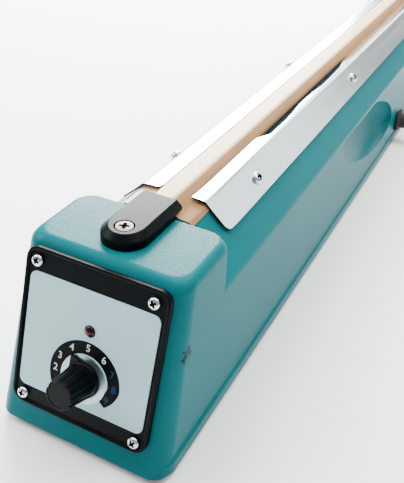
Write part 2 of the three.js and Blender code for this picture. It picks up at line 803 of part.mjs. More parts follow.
// The cloth's line over the bar on one side, from the top down to its clamped edge
function clothLine(offset, flare) {
  const side = barHalfWidth + clothGap + offset;
  const top = barTop + elementThickness + clothGap + offset;
  const low = ridgeHeight + clothGap + offset;
  const round = barRound + clothGap + offset;
  const points = [];
  for (let i = 0; i <= 2; i++) {
    const angle = (1 - i / 4) * Math.PI / 2;
    points.push([side - round + round * Math.cos(angle), top - round + round * Math.sin(angle)]);
  }
  const shift = (low - ridgeHeight) * Math.tan(slope / 2);
  const edgeX = ridgeHalfWidth + shift + clothDrop * Math.cos(slope);
  points.push([side + flare, low], [ridgeHalfWidth + shift, low],
    [edgeX, low - clothDrop * Math.sin(slope)]);
  return points;
}

function sealingCloth() {
  const flip = (points) => points.map(([x, z]) => [-x, z]).reverse();
  const over = (offset) =>
    [...flip(clothLine(offset, leftClothFlare)), ...clothLine(offset, rightClothFlare)];
  const shape = outline([...over(clothThickness), ...over(0).reverse()]);
  return alongY(shape, clothFront, mirrorY(clothFront));
}

function bump(y, centre, half) {
  const u = (y - centre) / half;
  return Math.abs(u) < 1 ? Math.cos(u * Math.PI / 2) ** 2 : 0;
}

// How far the lip's edge stands back from its front end's place, at a distance along the bar
function lipStandBack(y) {
  const share = THREE.MathUtils.smoothstep(y, plateFront, plateFront + lipRunOutLength);
  const waves = bump(y, firstWave, waveHalfLength) + bump(y, secondWave, waveHalfLength);
  return lipRunOut * share + waveDepth * waves;
}

// A clamping plate: a sheet rolled over the ridge corner, its lip reaching in to the cloth
function sidePlate(side) {
  const stations = [];
  const endShares = [0, 0.12, 0.35, 0.65, 1];
  for (const share of endShares) stations.push(plateFront + plateCornerRadius * share);
  const spans = 30;
  const first = plateFront + plateCornerRadius;
  const last = plateBack - plateCornerRadius;
  for (let i = 1; i < spans; i++) stations.push(first + (last - first) * i / spans);
  for (const share of endShares.slice().reverse()) {
    stations.push(plateBack - plateCornerRadius * share);
  }
  const along = new THREE.Vector2(Math.cos(slope), -Math.sin(slope));
  const out = new THREE.Vector2(Math.sin(slope), Math.cos(slope));
  const seat = new THREE.Vector2(ridgeHalfWidth, ridgeHeight).addScaledVector(out, plateGap);
  const rings = stations.map((y) => {
    const fromEnd = Math.min(y - plateFront, plateBack - y);
    const short = Math.max(0, plateCornerRadius - fromEnd);
    const trim = plateCornerRadius
      - Math.sqrt(Math.max(0, plateCornerRadius ** 2 - short ** 2));
    const lipX = side > 0 ? rightLipHalfWidth + lipStandBack(y) : leftLipHalfWidth;
    const lipEdge = new THREE.Vector2(lipX, ridgeHeight + lipRise);
    const rollStart = new THREE.Vector2(seat.x - plateBendRise * 2, seat.y + plateBendRise);
    const rollEnd = seat.clone().addScaledVector(along, plateBendRise);
    const middlePoint = rollStart.clone().lerp(rollEnd, 0.5).addScaledVector(out, plateBendRise / 4);
    const foot = seat.clone().addScaledVector(along, plateSlopeLength - trim);
    const inner = [lipEdge, rollStart, middlePoint, rollEnd, foot];
    const up = new THREE.Vector2(0, plateThickness);
    const lift = out.clone().multiplyScalar(plateThickness);
    const lean = up.clone().lerp(lift, 0.5);
    const rises = [up, up, lean, lift, lift];
    const outer = inner.map((point, i) => point.clone().add(rises[i])).reverse();
    return [...inner, ...outer].map((point) => new THREE.Vector3(side * point.x, y, point.y));
  });
  const holes = plateScrewStations.map((y) =>
    cylinder(m3Radius + holeGap, -topWall, topWall, smallSides)
      .translate(-plateScrewDown, 0, 0).applyMatrix4(slopeMatrix(side)).translate(0, y, 0));
  return cut(skin(rings), ...holes);
}

function plateScrew(side, y) {
  return screw(m3Radius, m3HeadRadius, m3HeadHeight, topWall + plateThickness * 2)
    .translate(-plateScrewDown, 0, plateGap + plateThickness)
    .applyMatrix4(slopeMatrix(side)).translate(0, y, 0);
}

// A D-shaped end cap in plan, round towards the machine's end
function capRing(inset, z, endY, flatY) {
  const points = [];
  const turnSteps = 16;
  const half = capHalfWidth - inset;
  const toward = Math.sign(endY - flatY);
  const centreY = endY - toward * capHalfWidth;
  for (let i = 0; i <= turnSteps; i++) {
    const angle = i / turnSteps * Math.PI;
    points.push(new THREE.Vector3(half * Math.cos(angle), centreY + toward * half * Math.sin(angle), z));
  }
  points.push(new THREE.Vector3(-half, flatY, z), new THREE.Vector3(half, flatY, z));
  return points;
}

function endCap(front) {
  const place = front ? (y) => y : mirrorY;
  const endY = place(capFront);
  const flatY = place(headBack + capOverhang);
  const low = headHeight;
  const body = skin([[0, low], [0, low + capSide], [capBevel, low + capHeight]]
    .map(([inset, z]) => capRing(inset, z, endY, flatY)));
  const tunnelYs = [place(headBack + capOverhang + overrun),
    place(headBack + capOverhang - capTunnelLength)].sort((a, b) => a - b);
  const tunnel = block(-capTunnelHalfWidth, capTunnelHalfWidth, ...tunnelYs,
    low - overrun, low + capTunnelHeight);
  const liftYs = [place(headBack), place(headBack + capOverhang + overrun)]
    .sort((a, b) => a - b);
  const lift = block(-capHalfWidth * 2, capHalfWidth * 2, ...liftYs,
    low - overrun, low + capOverhangLift);
  const seat = turned([
    [0, low - overrun], [m4Radius + holeGap, low - overrun],
    [m4Radius + holeGap, low + capHeight - m4HeadHeight],
    [m4HeadRadius + holeGap, low + capHeight - seatGap], [m4HeadRadius + holeGap, low + capHeight + overrun],
    [0, low + capHeight + overrun]]).translate(0, place(capScrewFrontY), 0);
  return cut(body, tunnel, lift, seat);
}

function capScrew(y) {
  return screw(m4Radius, m4HeadRadius, m4HeadHeight, capHeight + topWall, true, roundSides)
    .translate(0, y, headHeight + capHeight - seatGap / 2);
}

// Terminals under the heads' roofs
const insulatorHalfX = 9;
const insulatorHalfY = 6;
const insulatorHeight = 8;
const terminalHalfX = 5;
const terminalLength = 6;
const terminalHeight = 9;
const roofUnderside = headHeight - topWall;
function terminalInsulator(front) {
  const middleY = front ? slotFront + slotLength / 2 : mirrorY(slotFront + slotLength / 2);
  const body = block(-insulatorHalfX, insulatorHalfX, middleY - insulatorHalfY,
    middleY + insulatorHalfY, roofUnderside - insulatorHeight, roofUnderside);
  return cut(body, block(-slotHalfWidth, slotHalfWidth, middleY - slotLength / 2,
    middleY + slotLength / 2, 0, headHeight));
}

function terminal(front) {
  const near = elementFront + elementThickness + seatGap;
  const ys = [near, near + terminalLength];
  const [a, b] = front ? ys : ys.map(mirrorY).reverse();
  const high = roofUnderside - insulatorHeight;
  return block(-terminalHalfX, terminalHalfX, a, b, high - terminalHeight, high);
}

// Transformer on the base plate, behind the scoops
const coreSideGap = 9.9;
const coreHalfX = baseHalfWidth - coreSideGap;
const coreHalfY = 14;
const coreHeadroom = 5.8;
const coreHeight = shoulderHeight - coreHeadroom - basePlateTop;
const coreAhead = 110.1;
const coreY = rearHeadFront - coreAhead;
const coreWindowInset = 11;
const coreWindowWidth = 11;
const coreLegGap = 0.4;
const coilCornerRadius = 5;
const coilReach = 12;
const coreLow = basePlateTop;
const windowLow = coreLow + coreWindowInset;
const windowHigh = coreLow + coreHeight - coreWindowInset;
const legHalf = coreHalfX - coreWindowInset - coreWindowWidth;

function transformerCore() {
  const stack = block(-coreHalfX, coreHalfX, coreY - coreHalfY, coreY + coreHalfY,
    coreLow, coreLow + coreHeight);
  const windows = [-1, 1].map((side) => {
    const xs = [side * legHalf, side * (legHalf + coreWindowWidth)].sort((a, b) => a - b);
    return block(...xs, coreY - coreHalfY - overrun, coreY + coreHalfY + overrun,
      windowLow, windowHigh);
  });
  return cut(stack, ...windows);
}

function transformerCoil() {
  const halfX = legHalf + coreWindowWidth - coreLegGap;
  const halfY = coreHalfY + coilReach;
  const coil = alongZ(roundedRectangle(halfX, halfY, coilCornerRadius), windowLow + coreLegGap,
    windowHigh - coreLegGap, 3).translate(0, coreY, 0);
  return cut(coil, block(-legHalf - coreLegGap, legHalf + coreLegGap,
    coreY - coreHalfY - coreLegGap, coreY + coreHalfY + coreLegGap, 0, headHeight));
}

const strapThickness = 1.2;
const strapHalfY = 8;
const strapFoot = 4.2;
function transformerStrap() {
  const inner = coreHalfX + seatGap;
  const outer = inner + strapThickness;
  const high = coreLow + coreHeight + seatGap;
  const toe = outer + strapFoot;
  const low = basePlateTop;
  const shape = outline([
    [-toe, low], [-inner, low], [-inner, high], [inner, high], [inner, low], [toe, low],
    [toe, low + strapThickness], [outer, low + strapThickness], [outer, high + strapThickness],
    [-outer, high + strapThickness], [-outer, low + strapThickness], [-toe, low + strapThickness]]);
  return alongY(shape, coreY - strapHalfY, coreY + strapHalfY);
}

// Micro-switch under the push rod
const switchHalfX = 5.15;
const switchHalfY = 13.9;
const switchHeight = 15.9;
const switchDrop = 37.7;
const switchTop = headHeight - switchDrop;
const buttonRadius = 1.8;
const buttonRise = 2.4;
const buttonTopRest = switchTop + buttonRise;
const buttonSink = 2.5;
const buttonLowRest = switchTop - buttonSink;
const buttonTravel = 1;
const bracketThickness = 1.5;
const bracketHalfY = 10;
const bracketFoot = 12;
function microSwitch() {
  const body = block(-switchHalfX, switchHalfX, rodY - switchHalfY, rodY + switchHalfY,
    switchTop - switchHeight, switchTop);
  const socket = cylinder(buttonRadius + holeGap, buttonLowRest - buttonTravel - seatGap,
    switchTop + overrun, smallSides).translate(0, rodY, 0);
  return cut(body, socket);
}

function switchBracket() {
  const left = switchHalfX;
  const right = left + bracketThickness;
  const shape = outline([
    [left, basePlateTop], [right + bracketFoot, basePlateTop],
    [right + bracketFoot, basePlateTop + bracketThickness],
    [right, basePlateTop + bracketThickness], [right, switchTop - overrun],
    [left, switchTop - overrun]]);
  return alongY(shape, rodY - bracketHalfY, rodY + bracketHalfY);
}

// Push rod and spring
const contactGap = rodHeadRadius + closedGap;
const rodHeadClosed = hingeZ - armUnderside - contactGap;
const rodHeadOpen = hingeZ + rodAhead * Math.tan(open)
  - (armUnderside + contactGap) / Math.cos(open);
const rodTravel = rodHeadOpen - rodHeadClosed;
const rodLow = buttonTopRest - buttonTravel + closedGap + rodTravel;
function pushRod() {
  const head = rodHeadOpen;
  const dome = Array.from({ length: 5 }, (_, i) => {
    const angle = (i - 1) / 4 * Math.PI / 2;
    return [rodHeadRadius * Math.cos(angle), head + rodHeadRadius * Math.sin(angle)];
  });
  dome.push([0, head + rodHeadRadius]);
  return turned([
    [0, rodLow], [rodRadius, rodLow], [rodRadius, head - rodCollarLow],
    [rodCollarRadius, head - rodCollarLow], [rodCollarRadius, head - rodCollarHigh],
    [rodNeckRadius, head - rodCollarHigh], ...dome], 16).translate(0, rodY, 0);
}

function springPath() {
  const low = headHeight - wellDepth + seatGap;
  const high = rodHeadOpen - rodCollarLow - seatGap;
  const stepsPerCurl = 8;
  const count = springCurls * stepsPerCurl;
  const rise = high - low - springWire * 2;
  const points = [new THREE.Vector3(springRadius, 0, low)];
  for (let i = 0; i <= count; i++) {
    const angle = i / stepsPerCurl * Math.PI * 2;
    points.push(new THREE.Vector3(springRadius * Math.cos(angle), springRadius * Math.sin(angle),
      low + springWire + rise * i / count));
  }
  const end = points[points.length - 1].clone();
  end.z = high;
  points.push(end);
  return points.map((point) => point.add(new THREE.Vector3(0, rodY, 0)));
}

// One unbroken tube along a list of points, its ends square to the first and last stretch
function tube(points, radius, sides) {
  let across = null;
  const rings = points.map((point, i) => {
    const before = points[Math.max(0, i - 1)];
    const after = points[Math.min(points.length - 1, i + 1)];
    const ahead = after.clone().sub(before).normalize();
    if (!across) across = new THREE.Vector3(ahead.y, ahead.z, ahead.x);
    across = across.clone().addScaledVector(ahead, -across.dot(ahead)).normalize();
    const third = new THREE.Vector3().crossVectors(ahead, across);
    return Array.from({ length: sides }, (_, k) => {
      const angle = k / sides * Math.PI * 2;
      return point.clone().addScaledVector(across, radius * Math.cos(angle))
        .addScaledVector(third, radius * Math.sin(angle));
    });
  });
  return skin(rings);
}

// The least gap of a wire to itself, between points that stand some count apart
function leastGap(points, radius, apart) {
  let least = Infinity;
  for (let i = 0; i < points.length; i++) {
    for (let j = i + apart; j < points.length; j++) {
      least = Math.min(least, points[i].distanceTo(points[j]) - radius * 2);
    }
  }
  return least;
}

// Leads from the terminals to the transformer
const leadRadius = 1.4;
const leadDrop = 24.2;
const leadHeight = roofUnderside - leadDrop;
const leadX = 12;
function lead(front) {
  const near = elementFront + elementThickness + seatGap + terminalLength / 2;
  const startY = front ? near : mirrorY(near);
  const toward = front ? 1 : -1;
  const coilY = coreY - toward * (coreHalfY + coilReach + seatGap);
  const startZ = roofUnderside - insulatorHeight - terminalHeight / 2;
  const endZ = windowHigh - leadX / 2;
  const turn = Math.min(leadX * 1.5, Math.abs(coilY - startY) / 5);
  const curve = new THREE.CatmullRomCurve3([
    new THREE.Vector3(0, startY, startZ),
    new THREE.Vector3(0, startY + toward * turn / 2, startZ),
    new THREE.Vector3(leadX / 2, startY + toward * turn * 1.5, (startZ + leadHeight) / 2),
    new THREE.Vector3(leadX, startY + toward * turn * 2.5, leadHeight),
    new THREE.Vector3(leadX, (startY + coilY) / 2, leadHeight - leadRadius * 2),
    new THREE.Vector3(leadX, coilY - toward * turn * 1.5, (leadHeight + endZ) / 2),
    new THREE.Vector3(leadX, coilY - toward * turn / 2, endZ),
    new THREE.Vector3(leadX, coilY, endZ)]);
  const steps = 22;
  const points = Array.from({ length: steps + 1 }, (_, i) => curve.getPointAt(i / steps));
  points.splice(1, 0, new THREE.Vector3(0, startY + toward * leadRadius, startZ));
  points.splice(points.length - 1, 0, new THREE.Vector3(leadX, coilY - toward * leadRadius, endZ));
  return tube(points, leadRadius, 8);
}

function gland() {
  const x = sideAt(glandZ);
  const seat = x + seatGap + draft * glandFlangeRadius;
  const profile = [
    [cordHoleRadius, -wall - glandTail], [glandNeckRadius, -wall - glandTail],
    [glandNeckRadius, 0], [glandFlangeRadius, 0], [glandFlangeRadius, glandFlange],
    [glandSleeveRadius, glandFlange], [glandTipRadius, glandReach],
    [cordHoleRadius, glandReach], [cordHoleRadius, -wall - glandTail]];
  return turned(profile, 20).rotateY(Math.PI / 2).translate(seat, glandY, glandZ);
}

// Hinge pin through both ears, its head on the left
function hingePin() {
  const reach = earInner + earThickness;
  const groove = clipThickness + seatGap;
  const grooveRadius = pinRadius - pinGrooveDepth;
  return turned([
    [0, -reach - seatGap - pinHeadLength], [pinHeadRadius, -reach - seatGap - pinHeadLength],
    [pinHeadRadius, -reach - seatGap], [pinRadius, -reach - seatGap],
    [pinRadius, reach + seatGap / 2], [grooveRadius, reach + seatGap / 2],
    [grooveRadius, reach + seatGap / 2 + groove], [pinRadius, reach + seatGap / 2 + groove],
    [pinRadius, reach + groove * 2], [0, reach + groove * 2]])
    .rotateY(Math.PI / 2).translate(0, hingeY, hingeZ);
}

function pinClip() {
  const inner = pinRadius - pinGrooveDepth + pinGap;
  const left = earInner + earThickness + seatGap;
  const shape = new THREE.Shape();
  shape.absarc(0, 0, clipRadius, clipGapAngle, Math.PI * 2 - clipGapAngle);
  shape.absarc(0, 0, inner, Math.PI * 2 - clipGapAngle, clipGapAngle, true);
  return alongX(shape, left, left + clipThickness, 10).translate(0, hingeY, hingeZ);
}

// Arm pieces, closed pose, origin on the hinge axis
const armFront = armFrontOverHead - hingeY;
const armBeamBack = -armRearSolid / 2;
const barFrontEnd = armFront + armFrontSolid;
const barBackEnd = -armRearSolid - seatGap;
const armScrewYs = [0.12, 0.5, 0.88].map((share) => barFrontEnd + (barBackEnd - barFrontEnd) * share);
const ledgeZ = pressureBarHeight - armUnderside + seatGap;

function armCasting() {
  const side = (half, top, topHalf) => outline([
    [-half, -armUnderside], [half, -armUnderside],
    [topHalf + (half - topHalf) / 3, top - armChamfer], [topHalf, top],
    [-topHalf, top], [-topHalf - (half - topHalf) / 3, top - armChamfer]]);
  const beam = alongY(side(armHalfWidth, armTop, armTopHalfWidth), armFront, armBeamBack);
  const knuckle = cylinder(knuckleRadius, seatGap - earInner, earInner - seatGap)
    .rotateY(Math.PI / 2);
  const neck = block(-armHalfWidth, armHalfWidth, armBeamBack - overrun, 0, -armUnderside, knuckleRadius);
  const tongue = block(-tongueHalfWidth, tongueHalfWidth, armFront - gripLength + gripNoseLength,
    armFront + overrun, -tongueLow, tongueHigh);
  const channel = block(-pressureBarHalfWidth - seatGap, pressureBarHalfWidth + seatGap,
    barFrontEnd - seatGap, barBackEnd + seatGap, -armUnderside - overrun, ledgeZ);
  const innerTop = armTop - armWall;
  const hollow = alongY(outline([
    [-ledgeHalfWidth, 0], [ledgeHalfWidth, 0], [armTopHalfWidth - armWall / 2, innerTop],
    [armWall / 2 - armTopHalfWidth, innerTop]]), barFrontEnd + armChamfer, barBackEnd - armChamfer);
  const bore = cylinder(pinRadius + pinGap, -earInner * 2, earInner * 2).rotateY(Math.PI / 2);
  const holes = armScrewYs.map((y) =>
    cylinder(m4Radius + holeGap, 0, armTop + overrun, smallSides).translate(0, y, 0));
  const gripHole = cylinder(m3Radius + holeGap, -gripLow, tongueLow + overrun, smallSides)
    .translate(0, gripScrewY, 0);
  return cut(join(beam, knuckle, neck, tongue), channel, hollow, bore, ...holes, gripHole);
}

const gripScrewY = armFront - gripLength / 2;

function pressureBar() {
  const bar = block(-pressureBarHalfWidth, pressureBarHalfWidth, barFrontEnd, barBackEnd,
    -armUnderside, pressureBarHeight - armUnderside);
  const groove = block(-rubberHalfWidth - seatGap, rubberHalfWidth + seatGap,
    barFrontEnd - overrun, barBackEnd + overrun, -armUnderside - overrun,
    rubberGrooveDepth - armUnderside);
  const holes = armScrewYs.map((y) =>
    cylinder(m4Radius + holeGap, -armUnderside, armTop, smallSides).translate(0, y, 0));
  return cut(bar, groove, ...holes);
}

function pressingRubber() {
  const front = headBack + capOverhang + rubberEndGap - hingeY;
  const back = rearHeadFront - capOverhang - rubberEndGap - hingeY;
  return block(-rubberHalfWidth, rubberHalfWidth, front, back,
    clothTop + closedGap - hingeZ, rubberGrooveDepth - armUnderside - seatGap);
}

function armScrew(y) {
  const reach = armTop + seatGap + armUnderside - rubberGrooveDepth;
  return screw(m4Radius, m4HeadRadius, m4HeadHeight, reach).translate(0, y, armTop + seatGap);
}

function armGrip() {
  const back = armFront - seatGap;
  const front = back - gripLength;
  const halfZ = (gripLow + gripHigh) / 2;
  const middleZ = (gripHigh - gripLow) / 2;
  const section = (y, inset) => {
    const points = [];
    const [hx, hz, r] = [gripHalfWidth - inset, halfZ - inset, gripRound - inset / 2];
    for (const [sx, sz, quarter] of [[1, 1, 0], [-1, 1, 1], [-1, -1, 2], [1, -1, 3]]) {
      for (let i = 0; i <= 4; i++) {
        const angle = (quarter + i / 4) * Math.PI / 2;
        points.push(new THREE.Vector3(sx * (hx - r) + r * Math.cos(angle), y,
          middleZ + sz * (hz - r) + r * Math.sin(angle)));
      }
    }
    return points;
  };
  const noseShares = [[0, 0.55], [0.15, 0.25], [0.45, 0.07], [1, 0]];
  const rings = noseShares.map(([share, insetShare]) =>
    section(front + gripNoseLength * share, gripNoseLength * insetShare));
  rings.push(section(back, 0));
  const socket = block(-tongueHalfWidth - seatGap, tongueHalfWidth + seatGap,
    armFront - gripLength + gripNoseLength - seatGap, armFront + overrun,
    -tongueLow - seatGap, tongueHigh + seatGap);
  const hole = turned([
    [0, -gripLow - overrun], [m3HeadRadius + holeGap, -gripLow - overrun],
    [m3HeadRadius + holeGap, -gripLow + m3HeadHeight + seatGap],
    [m3Radius + holeGap, -gripLow + m3HeadHeight + seatGap],
    [m3Radius + holeGap, 0], [0, 0]], smallSides).translate(0, gripScrewY, 0);
  return cut(skin(rings), socket, hole);
}

function gripScrew() {
  const seat = -gripLow + m3HeadHeight + seatGap;
  return screw(m3Radius, m3HeadRadius, m3HeadHeight, tongueLow + gripLow - m3HeadHeight)
    .rotateX(Math.PI).translate(0, gripScrewY, seat - seatGap / 2);
}

// Finishes
const paint = { color: 0x0a9aa5, roughness: 0.4, metalness: 0.1 };
const blackPlastic = { color: 0x1d2123, roughness: 0.45, metalness: 0 };
const steel = { color: 0xc4cdd0, roughness: 0.25, metalness: 1 };
const zincSteel = { color: 0xb9bcb6, roughness: 0.4, metalness: 1 };
const aluminium = { color: 0xb8bcbc, roughness: 0.4, metalness: 1 };
const rubberBlack = { color: 0x161616, roughness: 0.85, metalness: 0 };
const silicone = { color: 0xd9d4c8, roughness: 0.7, metalness: 0 };
const cloth = { color: 0xb89878, roughness: 0.5, metalness: 0 };
const dialFinish = { color: 0xb5c8cc, roughness: 0.45, metalness: 0.3 };
const redLens = { color: 0x5a1015, roughness: 0.2, metalness: 0 };
const brass = { color: 0xb08d3a, roughness: 0.35, metalness: 1 };
const board = { color: 0x2f6b3a, roughness: 0.5, metalness: 0 };
const bakelite = { color: 0x4a2c1c, roughness: 0.5, metalness: 0 };
const copper = { color: 0x9a4a22, roughness: 0.4, metalness: 0.8 };
const laminations = { color: 0x50504c, roughness: 0.5, metalness: 0.8 };

// The assembly
const sealer = new THREE.Group();
const base = new THREE.Group();
const panel = new THREE.Group();
panel.position.set(0, 0, panelHeight);
panel.rotation.x = Math.PI / 2 - tilt;
const arm = new THREE.Group();
arm.position.set(0, hingeY, hingeZ);
arm.rotation.x = -open;
base.add(panel, arm);
sealer.add(base);

function piece(name, geometry, finish, parent = base) {
  const flat = outward(geometry).toNonIndexed();
  flat.computeVertexNormals();
  const mesh = new THREE.Mesh(flat, new THREE.MeshStandardMaterial(finish));
  mesh.name = name;
  parent.add(mesh);
  return mesh;
}

piece('body_casting', bodyCasting(), paint);
piece('base_plate', basePlate(), zincSteel);
for (const [name, x, y] of baseScrews) {
  piece(`base_screw_${name}`, screw(m3Radius, m3HeadRadius, m3HeadHeight, baseScrewLength)
    .rotateX(Math.PI).translate(x, y, footHeight), zincSteel);
}
for (const [name, x, y] of feet) piece(name, foot(x, y), rubberBlack);

piece('front_bezel', bezel(), blackPlastic, panel);
piece('dial_plate', dialPlate(), dialFinish, panel).position.z = seatGap - dialRecess;
for (const [name, x, v] of panelScrews) {
  piece(`bezel_screw_${name}`, screw(m3Radius, m3HeadRadius, m3HeadHeight, faceDepth + wall)
    .translate(x, v, seatGap), steel, panel);
}
piece('indicator_lens', indicator(), redLens, panel).position.set(indicatorX, indicatorV, 0);
const dialAxis = new THREE.Group();
dialAxis.position.set(knobX, knobV, 0);
panel.add(dialAxis);
piece('potentiometer', potentiometer(), zincSteel, dialAxis);
piece('potentiometer_nut', potNut(), zincSteel, dialAxis);
piece('potentiometer_shaft', potShaft(), aluminium, dialAxis);
piece('timer_knob', knob(), blackPlastic, dialAxis);
piece('timer_board', timerBoard(), board, panel);

piece('sealing_bar', sealingBar(), bakelite);
piece('heating_element', heatingElement(), steel);
piece('sealing_cloth', sealingCloth(), cloth);
piece('left_plate', sidePlate(-1), steel);
piece('right_plate', sidePlate(1), steel);
for (const [name, index] of [['front', 0], ['middle', 1], ['rear', 2]]) {
  piece(`left_plate_screw_${name}`, plateScrew(-1, plateScrewStations[index]), steel);
  piece(`right_plate_screw_${name}`, plateScrew(1, plateScrewStations[index]), steel);
}
piece('front_cap', endCap(true), blackPlastic);
piece('rear_cap', endCap(false), blackPlastic);
piece('front_cap_screw', capScrew(capScrewFrontY), steel);
piece('rear_cap_screw', capScrew(capScrewRearY), steel);
piece('front_terminal_insulator', terminalInsulator(true), bakelite);
piece('rear_terminal_insulator', terminalInsulator(false), bakelite);
piece('front_lead', join(terminal(true), lead(true)), brass);
piece('rear_lead', join(terminal(false), lead(false)), brass);
piece('transformer_core', transformerCore(), laminations);
piece('transformer_coil', transformerCoil(), copper);
piece('transformer_strap', transformerStrap(), zincSteel);
piece('microswitch', microSwitch(), blackPlastic);
piece('microswitch_bracket', switchBracket(), zincSteel);
piece('microswitch_button', cylinder(buttonRadius, buttonLowRest, buttonTopRest, smallSides)
  .translate(0, rodY, 0), redLens);
piece('cord_bush', gland(), blackPlastic);

piece('push_rod', pushRod(), steel);
const springPoints = springPath();
piece('rod_spring', tube(springPoints, springWire / 2, 5), steel);
console.log('rod spring, least gap to itself in mm:',
  leastGap(springPoints, springWire / 2, 6).toFixed(2));
piece('hinge_pin', hingePin(), steel);
piece('pin_clip', pinClip(), zincSteel);

piece('arm_casting', armCasting(), paint, arm);
piece('pressure_bar', pressureBar(), aluminium, arm);
piece('pressing_rubber', pressingRubber(), silicone, arm);
for (const [name, index] of [['front', 0], ['middle', 1], ['rear', 2]]) {
  piece(`arm_screw_${name}`, armScrew(armScrewYs[index]), steel, arm);
}
piece('arm_grip', armGrip(), blackPlastic, arm);
piece('grip_screw', gripScrew(), steel, arm);

// The origin is the middle of the box at floor level
sealer.updateMatrixWorld(true);
const box = new THREE.Box3().setFromObject(sealer);
base.position.set(-(box.min.x + box.max.x) / 2, -(box.min.y + box.max.y) / 2, 0);
sealer.updateMatrixWorld(true);

export default sealer;
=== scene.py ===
import math

import bmesh
import bpy
from mathutils import Matrix, Vector


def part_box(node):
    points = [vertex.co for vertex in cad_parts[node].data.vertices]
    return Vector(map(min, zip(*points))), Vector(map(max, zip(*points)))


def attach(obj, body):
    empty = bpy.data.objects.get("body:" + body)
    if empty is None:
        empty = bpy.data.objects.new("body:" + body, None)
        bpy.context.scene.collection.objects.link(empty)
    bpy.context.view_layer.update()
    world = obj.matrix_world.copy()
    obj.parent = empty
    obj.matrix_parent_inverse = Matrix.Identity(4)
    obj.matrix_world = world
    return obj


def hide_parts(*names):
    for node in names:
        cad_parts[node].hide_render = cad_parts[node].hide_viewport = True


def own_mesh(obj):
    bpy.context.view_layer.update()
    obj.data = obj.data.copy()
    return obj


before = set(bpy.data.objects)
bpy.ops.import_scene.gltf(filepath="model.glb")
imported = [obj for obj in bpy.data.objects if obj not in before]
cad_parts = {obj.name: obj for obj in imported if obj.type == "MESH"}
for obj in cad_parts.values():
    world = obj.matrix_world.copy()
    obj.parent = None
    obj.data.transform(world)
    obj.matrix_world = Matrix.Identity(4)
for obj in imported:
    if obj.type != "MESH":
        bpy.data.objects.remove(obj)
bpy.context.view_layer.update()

# %% [markdown]
# Sizes are written in millimetres, the way a workshop drawing gives them, with x = 0 on the machine's
# middle and y = 0 at the front panel. Four drawing frames turn them into metres: one for the bench, one
# that leans with the front panel, one that lifts with the arm, and one for each sloping flank.
# %% Drawing frames
MM = 0.001
X, Y, Z = range(3)
PANEL_TILT, PANEL_HEIGHT = math.radians(17.4), 49.7
ARM_LIFT = math.radians(30)
HINGE = (0, 632.1, 101.7)
BAR_START = 55.05
RIDGE_HALF, RIDGE_TOP = 16.2, 86.7
SHOULDER_HALF, SHOULDER_TOP = 39.9, 65.3
SLOPE = math.atan2(RIDGE_TOP - SHOULDER_TOP, SHOULDER_HALF - RIDGE_HALF)


def at(x, y, z):
    return Matrix.Translation((x, y, z))


def turn(angle, axis):
    return Matrix.Rotation(angle, 4, axis)


bar_low, bar_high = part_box("sealing_bar")
origin = Vector(((bar_low.x + bar_high.x) / 2, bar_low.y - BAR_START * MM, 0))
BENCH = at(*origin) @ Matrix.Scale(MM, 4)
LEANING = at(0, 0, PANEL_HEIGHT) @ turn(math.pi / 2 - PANEL_TILT, "X")
PANEL = BENCH @ LEANING
ARM = BENCH @ at(*HINGE) @ turn(-ARM_LIFT, "X")
CROSSWAYS, UPSIDE_DOWN = turn(math.pi / 2, "Y"), turn(math.pi, "X")


def flank(side, y):
    """The frame on one sloping flank: z stands out of the slope, x points down it."""
    down = Vector((side * math.cos(SLOPE), 0, -math.sin(SLOPE)))
    out = Vector((side * math.sin(SLOPE), 0, math.cos(SLOPE)))
    axes = Matrix((down, out.cross(down), out)).transposed().to_4x4()
    return BENCH @ at(side * RIDGE_HALF, y, RIDGE_TOP) @ axes


print("drawing origin sits at", [round(v / MM, 2) for v in origin], "mm in the frame")

# %% [markdown]
# The camera comes before any modelling, because it says which sides need the most care. Its lens, place
# and turn were solved from straight edges of known length, so the render lines up with the photograph.
# %% Camera
CAMERA_PLACE = (127.866, -164.264, 244.797)
CAMERA_TURN = Vector((2.108, 0.535, -0.223))
FOCAL_SHARE = 674.149 / 483
SENSOR = 36.0

bpy.ops.object.select_all(action="DESELECT")
bpy.ops.object.camera_add(location=BENCH @ Vector(CAMERA_PLACE))
camera = bpy.context.object
rows = Matrix.Rotation(CAMERA_TURN.length, 3, CAMERA_TURN.normalized())
camera.matrix_world = at(*camera.location) @ Matrix((rows[0], -rows[1], -rows[2])).transposed().to_4x4()
camera.data.sensor_width = SENSOR
camera.data.lens = SENSOR * FOCAL_SHARE
camera.data.clip_start = 0.01
bpy.context.scene.camera = camera
print("camera lens", round(camera.data.lens, 2), "mm")

# %% [markdown]
# Modelling by hand repeats a few moves: choose a piece, select faces or edges by where they lie, run an
# operator, and apply a modifier. These helpers hold those moves, so that each piece below reads as a
# short list of shaping steps.
# %% Modelling helpers
SMOOTH = math.radians(34)
TOUCH = 0.01


def only(piece):
    """Leaves edit mode and makes this the one selected, active piece."""
    if bpy.context.mode != "OBJECT":
        bpy.ops.object.mode_set(mode="OBJECT")
    bpy.ops.object.select_all(action="DESELECT")
    if piece:
        piece.select_set(True)
        bpy.context.view_layer.objects.active = piece


def pick(piece, kind, rule):
    """Opens edit mode with the corners, edges or faces selected whose points pass the rule."""
    only(piece)
    bpy.ops.object.mode_set(mode="EDIT")
    bpy.ops.mesh.select_mode(type=kind)
    bpy.ops.mesh.select_all(action="DESELECT")
    mesh = bmesh.from_edit_mesh(piece.data)
    for part in {"VERT": mesh.verts, "EDGE": mesh.edges, "FACE": mesh.faces}[kind]:
        if rule([part.co] if kind == "VERT" else [corner.co for corner in part.verts]):
            part.select_set(True)
    mesh.select_flush_mode()
    bmesh.update_edit_mesh(piece.data)


def anywhere(_):
    return True


def near(axis, level):
    """Holds for a point that lies at this level along an axis."""
    return lambda p: abs(p[axis] - level) < TOUCH


def every(rule):
    return lambda points: all(rule(point) for point in points)


